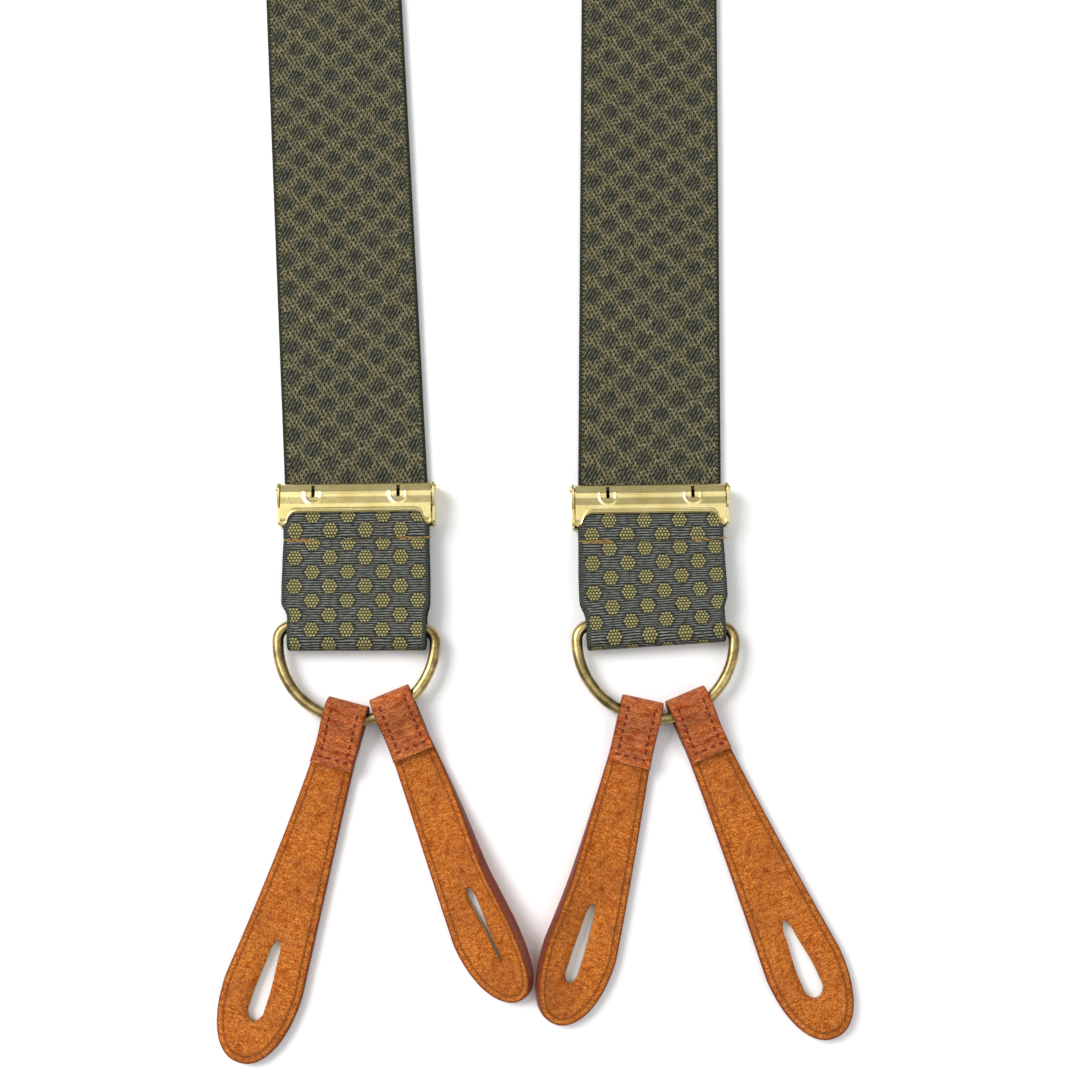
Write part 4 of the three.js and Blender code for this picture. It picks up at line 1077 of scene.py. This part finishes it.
def lever(side):
    """The bent plate that rolls round the pin, with its toothed nose below."""
    x = column_stops()
    roll_angle = np.radians(np.linspace(-60, 62, 22))
    fixed_y = np.concatenate(
        [np.arange(12.1, SLIT_LOW + 0.05, -0.16), [SLIT_LOW], np.arange(10.04, 8.0, -0.18)]
    )
    share = np.concatenate([np.linspace(0, 0.84, 14), np.linspace(0.87, 1, 10)])
    top, bottom = [], []
    for angle in roll_angle:
        for rows, radius in ((top, ROLL_RADIUS), (bottom, ROLL_RADIUS - ROLL_WALL)):
            y = np.full_like(x, PIN_Y + radius * math.cos(angle))
            z = np.full_like(x, PIN_Z + radius * math.sin(angle))
            rows.append(np.stack([x, y, z], 1))
    for y_value in fixed_y:
        y = np.full_like(x, y_value)
        top.append(np.stack([x, y, lever_surface(x, y)], 1))
        bottom.append(np.stack([x, y, lever_surface(x, y) - LEVER_SHEET], 1))
    start = fixed_y[-1] - 0.18
    for t in share:
        y = start - (start - lever_lower_edge(x)) * t
        top.append(np.stack([x, y, lever_surface(x, y)], 1))
        bottom.append(np.stack([x, y, lever_surface(x, y) - LEVER_SHEET], 1))
    top, bottom = np.array(top), np.array(bottom)
    middle_x = (x[:-1] + x[1:]) / 2
    in_slit = np.abs(np.abs(middle_x) - SLIT_OFFSET) < SLIT_HALF
    middle_y = (top[:-1, :-1, 1] + top[1:, :-1, 1]) / 2
    on_top = (np.arange(len(top) - 1) > 10)[:, None]
    above = (middle_y > SLIT_LOW) & (middle_y < PIN_Y + 0.95) & on_top
    points, faces, _ = shell(top, bottom, above & in_slit[None, :])
    world = FRONT[side].out_3d(points)
    made = build(side + "_lever_plate", world, faces, ["gilt"], place=points, sharp=38)
    merge(made, 0.001)
    nose = lever_nose(side)
    for piece in (made, nose):
        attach(piece, side + "_lever")
    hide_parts(side + "_adjuster_lever")


def lever_nose(side):
    """The toothed edge that bites the strap."""
    low = STRAP_Z + WEB_THICKNESS / 2 + NOSE_GAP
    x, z = [-NOSE_HALF], [low]
    for start in np.arange(-NOSE_HALF, NOSE_HALF - TOOTH_PITCH / 2, TOOTH_PITCH):
        x += [start + 0.9, start + 1.4, start + 2.2, start + TOOTH_PITCH]
        z += [low, low + TOOTH_DEPTH, low + TOOTH_DEPTH, low]
    x, z = np.array(x), np.array(z)
    high = np.full_like(x, PIN_Z - 0.75)
    sides = [
        np.array([np.stack([x, np.full_like(x, y), height], 1) for height in (z, high)])
        for y in (PIN_Y - NOSE_THICKNESS / 2, PIN_Y + NOSE_THICKNESS / 2)
    ]
    points, faces, _ = shell(*sides)
    world = FRONT[side].out_3d(points)
    made = build(side + "_lever_teeth", world, faces, ["gilt"], place=points, sharp=30)
    return merge(made, 0.001)


def lathe_along_x(name, profile, looks, y, z, place, shaft_half):
    """A turned piece about a line along local X, from [x, radius] points. The second look is
    for the shaft between the two places."""
    angle = np.linspace(0, 2 * math.pi, 33)[:-1]
    loops = []
    for px, r in profile:
        loops.append(np.stack([np.full(32, px), y + r * np.cos(angle), z + r * np.sin(angle)], 1))
    loops = np.array(loops)
    points, faces = sweep(loops)
    kinds = np.abs(points[faces][:, :, 0].mean(1)) < shaft_half
    return merge(build(name, place.out_3d(points), faces, looks, kinds, points), 0.001)


def pin(side):
    """The adjuster's pin, with a domed head outside each ear."""
    end = EAR_OUTSIDE + 0.1
    turns = np.linspace(0, QUARTER_TURN, 9)
    dome = [(end + 0.55 * math.sin(t), 0.98 * math.cos(t)) for t in turns]
    half = [(0.0, PIN_RADIUS), (end - 0.02, PIN_RADIUS), (end, 0.8), (end + 0.02, 0.96), *dome]
    profile = [(-px, r) for px, r in half[::-1]] + half[1:]
    looks = ["gilt", "steel"]
    made = lathe_along_x(side + "_pin", profile, looks, PIN_Y, PIN_Z, FRONT[side], LEVER_HALF)
    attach(made, side + "_adjuster")
    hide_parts(side + "_adjuster_pin")


def adjuster_frame(side):
    """The cast solid's own shape, with softened edges."""
    source = frame["nodes"][side + "_adjuster_frame"].data
    points = np.array([v.co for v in source.vertices]) * 1000
    faces = [list(p.vertices) for p in source.polygons]
    made = merge(build(side + "_frame", points, faces, ["gilt"], sharp=30), 0.002)
    melt = made.modifiers.new("flat", "DECIMATE")
    melt.decimate_type = "DISSOLVE"
    melt.angle_limit = math.radians(2)
    bevel = made.modifiers.new("soft_edges", "BEVEL")
    bevel.width = 0.00011
    bevel.segments = 2
    bevel.limit_method = "ANGLE"
    bevel.angle_limit = math.radians(28)
    bevel.harden_normals = True
    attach(made, side + "_adjuster")
    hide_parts(side + "_adjuster_frame")


# ---- D-rings ----
def ring(prefix):
    """A round wire bent to a D, its bar on the local X axis."""
    place = hinge_place(prefix + "_ring_swing")
    straight = RING_HALF_WIDTH - RING_CORNER
    corner = np.radians(np.linspace(90, 0, 12))
    right = np.stack(
        [straight + RING_CORNER * np.cos(corner), RING_CORNER * (np.sin(corner) - 1)], 1
    )
    bow = np.radians(np.linspace(0, -180, 90))[1:-1]
    arch = np.stack(
        [RING_HALF_WIDTH * np.cos(bow), -RING_CORNER + BOW_HALF_HEIGHT * np.sin(bow)], 1
    )
    left = right[::-1] * [-1, 1]
    bar = np.stack([np.linspace(-straight, straight, 26)[1:-1], np.zeros(24)], 1)
    line = np.concatenate([bar, right, arch, left])
    ahead, behind = np.roll(line, -1, 0), np.roll(line, 1, 0)
    way = ahead - behind
    way /= np.linalg.norm(way, axis=1)[:, None]
    side = np.stack([-way[:, 1], way[:, 0]], 1)
    angle = np.linspace(0, 2 * math.pi, 25)[:-1]
    x = line[:, :1] + WIRE_RADIUS * np.cos(angle) * side[:, :1]
    y = line[:, 1:] + WIRE_RADIUS * np.cos(angle) * side[:, 1:]
    z = RING_Z + WIRE_RADIUS * np.sin(angle) + 0 * x
    loops = np.stack([*place.out(x, y), z], -1)
    loops = np.concatenate([loops, loops[:1]])
    points, faces = sweep(loops)
    made = merge(build(prefix + "_ring_wire", points, faces, ["brass"], sharp=180), 0.002)
    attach(made, prefix + "_ring")
    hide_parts(prefix + "_d_ring")


# ---- Leather tabs ----
class Tab:
    """The outline and the bends of one tab, in its own frame."""

    def __init__(self, name):
        self.name = name
        self.length, self.turn, self.curl, self.slot_half = TABS[name]
        self.place = hinge_place(name + "_tab_swing")

    def half_width(self, along):
        widest = self.length - TAB_HEAD
        grown = np.clip((along - TAB_NECK_END) / (widest - TAB_NECK_END), 0, 1) ** 1.25
        past = np.clip((along - widest) / TAB_HEAD, 0, 1)
        straight = TAB_NECK / 2 + (TAB_FULL - TAB_NECK) / 2 * grown
        return straight * (1 - past**2.2) ** (1 / 2.2)

    def slot_width(self, along):
        """Half the buttonhole's width: narrow and pointed at its upper end, round below."""
        t = (along - self.length + SLOT_TO_TIP) / SLOT_LENGTH
        inside = np.clip(t, 0, 1)
        body = 1.3 + (self.slot_half - 1.3) * smooth((inside - 0.1) / 0.6)
        ends = np.sqrt(np.clip(inside / 0.12, 0, 1)) * np.sqrt(np.clip((1 - inside) / 0.1, 0, 1))
        return np.maximum(body * ends, 0.02)

    def in_slot(self, along):
        start = self.length - SLOT_TO_TIP
        return (along > start) & (along < start + SLOT_LENGTH)

    def out(self, along, across, height):
        """Row-frame points, with the rolled edge and the bend in the tab's own plane."""
        reach = smooth((along - CURL_START) / (CURL_FULL - CURL_START))
        hand = math.copysign(1, self.curl) if self.curl else 1
        start = -0.5 * self.half_width(np.array(CURL_FULL))
        rate = abs(math.radians(self.curl)) * reach / (TAB_FULL / 2 - start)
        rate = np.maximum(rate, 1e-7)
        sideways = across * hand
        angle = rate * np.maximum(sideways - start, 0)
        rolled = np.minimum(sideways, start) + (1 / rate - height) * np.sin(angle)
        up = height + (1 / rate - height) * (1 - np.cos(angle))
        rolled = rolled * hand
        swing = math.radians(self.turn) / self.length
        heading = swing * np.maximum(along, 0)
        run = np.minimum(along, 0)
        x = (1 - np.cos(heading)) / swing
        y = -np.sin(heading) / swing - run
        local = x + rolled * np.cos(heading), y + rolled * np.sin(heading)
        return np.stack([*self.place.out(*local), up], -1)

    def blade_rows(self, start):
        """Cross rows from start to the tip, closer together round the slot's ends and tip."""
        slot = self.length - SLOT_TO_TIP
        ends = np.array([0.0, 0.15, 0.4, 0.8, 1.3, 1.9])
        tip = self.length - TAB_HEAD * (1 - np.sin(np.radians(np.arange(90, 33, -3.4))))
        rows = np.concatenate(
            [
                np.arange(start, slot - 1, 1.1),
                slot + ends,
                np.arange(slot + 2.8, slot + SLOT_LENGTH - 2.4, 1.0),
                slot + SLOT_LENGTH - ends,
                tip[tip > slot + SLOT_LENGTH + 0.5],
                [self.length - 0.02],
            ]
        )
        rows = np.unique(np.round(rows, 3))
        return rows[rows <= self.length - 0.015]

    def columns(self, along):
        """Across places of one row, from the left edge to the slot and on to the right."""
        half = self.half_width(along)
        slot = min(float(self.slot_width(along)), half * 0.3)
        share = np.array([0, 0.12, 0.25, 0.4, 0.55, 0.68, 0.78, 0.86, 0.92, 0.96, 0.985, 1])
        right = slot + (half - slot) * share
        return np.concatenate([-right[::-1], right])

    def inset(self, along, across):
        """Distance to the outline, over the blade."""
        sides = np.linspace(-6, self.length - TAB_HEAD, 90)
        head = self.length - TAB_HEAD * (1 - np.sin(np.linspace(0, QUARTER_TURN, 60)))
        stops = np.concatenate([sides, head])
        half = self.half_width(np.minimum(stops, self.length))
        right = np.stack([stops, half], 1)
        outline = np.concatenate([right, right[::-1] * [1, -1]])
        a, b = outline[:-1], outline[1:]
        flat = np.stack([along.ravel(), across.ravel()], 1)
        best = np.full(len(flat), 1e9)
        for p, q in zip(a, b):
            edge = q - p
            length = max(edge @ edge, 1e-12)
            t = np.clip((flat - p) @ edge / length, 0, 1)
            best = np.minimum(best, np.linalg.norm(flat - p - t[:, None] * edge, axis=1))
        return best.reshape(along.shape)


def leather_grid(tab, line, on_blade):
    """Both faces of a leather that follows a line of [along, height] points. It thins towards
    its edges on its free face, and on the blade its other face meets the other leather."""
    _, normal = line_frames(line)
    across = np.array([tab.columns(a) for a in line[:, 0]])
    along = np.repeat(line[:, :1], across.shape[1], 1)
    inset = tab.inset(along, across)
    slotted = tab.in_slot(along) & on_blade[:, None]
    slot_depth = np.where(slotted, np.abs(across) - tab.slot_width(along), 9.0)
    edge = np.minimum(inset, np.maximum(slot_depth, 0))
    fall = rounded(edge, EDGE_RADIUS)
    skive = SKIVE_DEPTH * np.clip(1 - edge / SKIVE_WIDTH, 0, 1) ** 2 * on_blade[:, None]
    outside, joined = LEATHER / 2 - fall - skive, LEATHER / 2 + LEATHER_GAP / 2 - 0.01
    joined = np.where(on_blade[:, None], joined, LEATHER / 2 - fall)
    faces = []
    for hand, half in ((1, outside), (-1, joined)):
        a = along + normal[:, :1] * half * hand
        z = line[:, 1:] + normal[:, 1:] * half * hand
        faces.append(tab.out(a, across, z))
    columns = across.shape[1]
    cut = np.zeros((len(line) - 1, columns - 1), bool)
    start = tab.length - SLOT_TO_TIP
    low = np.minimum(line[:-1, 0], line[1:, 0])
    high = np.maximum(line[:-1, 0], line[1:, 0])
    inside = (low > start - 0.01) & (high < start + SLOT_LENGTH + 0.01)
    cut[inside & on_blade[:-1] & on_blade[1:], columns // 2 - 1] = True
    place = np.stack([across, lengths(line)[:, None] + 0 * across, line[:, 1:] + 0 * across], -1)
    return faces[0], faces[1], cut, place, edge if not on_blade.any() else inset


def leather_piece(name, tab, line, on_blade, looks):
    top, bottom, cut, place, inset = leather_grid(tab, line, on_blade)
    points, faces, kinds = shell(top, bottom, cut)
    carried = np.concatenate([place.reshape(-1, 3), place.reshape(-1, 3) + [0, 0, LEATHER]])
    depth = np.concatenate([inset.ravel(), inset.ravel()])
    made = build(name, points, faces, looks, kinds, carried, depth, sharp=50)
    merge(made, 0.004)
    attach(made, tab.name + "_tab")
    return made


def front_leather(tab):
    rows = tab.blade_rows(3.6)
    line = np.stack([rows, np.full_like(rows, TAB_FRONT_Z)], 1)
    on_blade = np.ones(len(line), bool)
    looks = ["tan", "russet", "edge", "raw"]
    made = leather_piece(tab.name + "_tab_face", tab, line, on_blade, looks)
    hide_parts(tab.name + "_tab_front")
    return made


def fold_line():
    """The back leather's run round the wire and down the tab's face."""
    bow = arc(0, RING_Z, TAB_LOOP_MID, -86, -262, 22)
    knee = [2.6, RING_Z + TAB_LOOP_MID - 0.7]
    down = resample(np.array([*bow[-2:], knee, [5.4, 4.9], [8.0, 4.2], [13.3, 4.1]]), 0.55)
    down = down[down[:, 0] > bow[-1, 0] + 0.2]
    return np.concatenate([bow, down, [[FOLD_LENGTH, TAB_FOLD_Z]]])


def back_leather(tab):
    rows = tab.blade_rows(9.0)[::-1]
    blade = np.stack([rows, np.full_like(rows, TAB_BACK_Z)], 1)
    neck = resample(np.array([[9.0, TAB_BACK_Z], [5.0, TAB_BACK_Z + 0.01], [0.4, 0.81]]), 0.8)[1:]
    line = np.concatenate([blade, neck, fold_line()[1:]])
    on_blade = np.arange(len(line)) < len(rows)
    looks = ["russet", "russet", "edge", "raw"]
    made = leather_piece(tab.name + "_tab_lining", tab, line, on_blade, looks)
    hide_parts(tab.name + "_tab_back")
    return made


def blade_stitching(tab):
    """Small stitches round the blade, inside its edge."""
    along = np.concatenate(
        [
            np.linspace(FOLD_LENGTH + 0.8, tab.length - TAB_HEAD, 160),
            tab.length - TAB_HEAD * (1 - np.sin(np.linspace(0, QUARTER_TURN, 90)[1:])),
        ]
    )
    half = tab.half_width(along)
    edge = np.stack([along, half], 1)
    way = np.gradient(edge, axis=0)
    way /= np.linalg.norm(way, axis=1)[:, None]
    inner = edge + np.stack([way[:, 1], -way[:, 0]], 1) * STITCH_INSET
    inner = inner[inner[:, 1] > 0]
    loop = np.concatenate([inner, inner[::-1] * [1, -1]])
    run = lengths(loop)
    sew = []
    height = TAB_FRONT_Z + LEATHER / 2
    for s in np.arange(0.8, run[-1], 1.3):
        spots = [[np.interp(e, run, loop[:, k]) for k in (0, 1)] for e in (s - 0.4, s + 0.4)]
        sew.append(between(*(tab.out(*spot, height) for spot in spots)))
    made = stitches(tab.name + "_tab_blade_stitching", sew, 0.9, 0.17, "tan_thread")
    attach(made, tab.name + "_tab")


def fold_stitching(tab):
    """Bolder stitches down both sides of the turned-over end and across its lower edge."""
    line = fold_line()
    _, normal = line_frames(line)
    outer = line + normal * -LEATHER / 2
    if outer[-1, 1] < line[-1, 1]:
        outer = line + normal * LEATHER / 2
    run = lengths(outer)
    inset = 2.0
    half = TAB_NECK / 2 - inset
    last = run[-1] - inset
    sew = []

    def at(s):
        return np.interp(s, run, outer[:, 0]), np.interp(s, run, outer[:, 1])

    for hand in (-1, 1):
        for s in np.arange(last - 12.3, last - 0.6, 2.05):
            (a0, z0), (a1, z1) = at(s - 0.5), at(s + 0.5)
            p = tab.out(a0, hand * half, z0 - 0.05)
            q = tab.out(a1, hand * half, z1 - 0.05)
            sew.append(between(p, q))
    a, z = at(last)
    for c in np.linspace(-half, half, 4):
        p = tab.out(a, c - 0.5, z - 0.05)
        q = tab.out(a, c + 0.5, z - 0.05)
        sew.append(between(p, q))
    made = stitches(tab.name + "_tab_fold_stitching", sew, 1.3, 0.34, "red_thread")
    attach(made, tab.name + "_tab")


def tab(name):
    made = Tab(name)
    front_leather(made)
    back_leather(made)
    blade_stitching(made)
    fold_stitching(made)


# ---- Back patch ----
def patch_half_width(along):
    t = np.clip(along / PATCH_LENGTH, 0, 1)
    straight = PATCH_FRONT_WIDTH + (PATCH_REAR_WIDTH - PATCH_FRONT_WIDTH) * smooth(t)
    nearest = np.minimum(along, PATCH_LENGTH - along)
    drop = np.maximum(PATCH_CORNER - nearest, 0)
    return straight / 2 - (PATCH_CORNER - np.sqrt(PATCH_CORNER**2 - drop**2))


def rim_share(side, end):
    """How far the upper leather has come down, by its distance to a long edge and an end."""
    return smooth((3.6 - side) / 3.2) * smooth((end - 6) / 10)


def patch_leather(name, node, middle, rim_drop, look):
    ends = [80.7, 81.2, 81.6, 81.85, 82]
    rows = np.concatenate([[0, 0.15, 0.4, 0.8, 1.3], np.linspace(2, 80, 66), ends])
    half = patch_half_width(rows)
    edge = np.array([0, 0.005, 0.015, 0.03])
    share = np.concatenate([edge, np.linspace(0.05, 0.95, 60), [0.97, 0.985, 0.995, 1]])
    across = (share * 2 - 1) * half[:, None]
    along = np.repeat(rows[:, None], across.shape[1], 1)
    side = half[:, None] - np.abs(across)
    end = np.minimum(along, PATCH_LENGTH - along)
    inset = np.minimum(side, end)
    fall = rounded(inset, EDGE_RADIUS)
    drop = rim_drop * rim_share(side, end)
    x, y = CENTRE_X + across, PATCH_LOW[1] + along
    top = np.stack([x, y, middle - drop + LEATHER / 2 - fall], -1)
    bottom = np.stack([x, y, middle - drop - LEATHER / 2 + fall], -1)
    points, faces, kinds = shell(top, bottom)
    carried = np.stack([across, along, 0 * along], -1).reshape(-1, 3)
    depth = np.concatenate([inset.ravel()] * 2)
    carried = np.concatenate([carried, carried + [0, 0, LEATHER]])
    looks = [look, look, "edge"]
    made = merge(build(name, points, faces, looks, kinds, carried, depth, sharp=50), 0.001)
    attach(made, "straps")
    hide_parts(node)
    return made


def patch_stitching():
    """A row of stitches all round the patch, on its upper leather."""
    top = PATCH_TOP_Z + LEATHER / 2
    sew = []
    for hand in (-1, 1):
        for along in np.arange(4, PATCH_LENGTH - 3.5, 2.2):
            half = patch_half_width(np.array([along - 0.6, along + 0.6])) - STITCH_INSET
            end = min(along, PATCH_LENGTH - along)
            z = top - RIM_DROP * rim_share(STITCH_INSET, end)
            p = np.array([CENTRE_X + hand * half[0], PATCH_LOW[1] + along - 0.6, z])
            q = np.array([CENTRE_X + hand * half[1], PATCH_LOW[1] + along + 0.6, z])
            sew.append(between(p, q))
    for along in (STITCH_INSET, PATCH_LENGTH - STITCH_INSET):
        half = float(patch_half_width(np.array(along))) - 3.2
        for x in np.arange(-half, half + 0.1, 2.2):
            sew.append(((CENTRE_X + x, PATCH_LOW[1] + along, top), (1, 0, 0)))
    made = stitches("back_patch_stitching", sew, 1.5, 0.24, "tan_thread")
    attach(made, "straps")


# ---- Floor and light ----
def add_floor():
    size = 2500.0
    square = ((-1, -1), (1, -1), (1, 1), (-1, 1))
    corners = np.array([[size * x, size * y, -0.05] for x, y in square])
    floor = build("floor", corners, [(0, 1, 2, 3)], ["floor"], place=corners)


def area_light(name, offset, size, power, colour=(1, 1, 1)):
    """A soft light that faces the middle of the view."""
    data = bpy.data.lights.new(name, "AREA")
    data.shape = "RECTANGLE"
    data.size, data.size_y = size
    data.energy = power
    data.color = colour
    light = bpy.data.objects.new(name, data)
    aim = Vector((AIM[0] / 1000, AIM[1] / 1000, 0))
    light.location = aim + Vector(offset)
    light.rotation_euler = (-Vector(offset)).to_track_quat("-Z", "Y").to_euler()
    bpy.context.scene.collection.objects.link(light)


def add_light():
    """A pale surround with a bright panel overhead, and two large soft lights."""
    world = bpy.data.worlds.new("studio")
    world.use_nodes = True
    tree = world.node_tree
    direction = tree.nodes.new("ShaderNodeTexCoord").outputs["Generated"]
    split = tree.nodes.new("ShaderNodeSeparateXYZ")
    tree.links.new(direction, split.inputs[0])
    strength = tree.nodes["Background"].inputs["Strength"]
    for axis, stops in PANEL:
        ramp = tree.nodes.new("ShaderNodeMapRange")
        ramp.interpolation_type = "SMOOTHSTEP"
        for name, value in zip(RAMP_STOPS, stops):
            ramp.inputs[name].default_value = value
        tree.links.new(split.outputs[axis], ramp.inputs["Value"])
        share = tree.nodes.new("ShaderNodeMath")
        share.operation = "MULTIPLY"
        share.inputs[1].default_value = 1.0
        tree.links.new(ramp.outputs["Result"], share.inputs[0])
        tree.links.new(share.outputs[0], strength)
        strength = share.inputs[1]
    tree.nodes["Background"].inputs["Color"].default_value = (1, 1, 1, 1)
    bpy.context.scene.world = world
    area_light("key", (-1.0, 0.45, 1.2), (0.9, 0.9), 24)
    area_light("fill", (0.9, -0.6, 1.2), (1.2, 1.2), 6)
    bpy.context.scene.view_settings.view_transform = "Standard"


# ---- The whole ----
add_camera()
for side in ("left", "right"):
    front_strap(side)
    loop_back(side)
    loop_front(side)
    hem_stitching(side)
    adjuster_frame(side)
    lever(side)
    pin(side)
for prefix in ("left", "right", "rear"):
    ring(prefix)
for name in TABS:
    tab(name)
rear_strap()
patch_leather("back_patch_lining", "back_patch_back", LEATHER / 2, 0, "russet")
patch_leather("back_patch_face", "back_patch_front", PATCH_TOP_Z, RIM_DROP, "tan")
patch_stitching()
add_floor()
add_light()
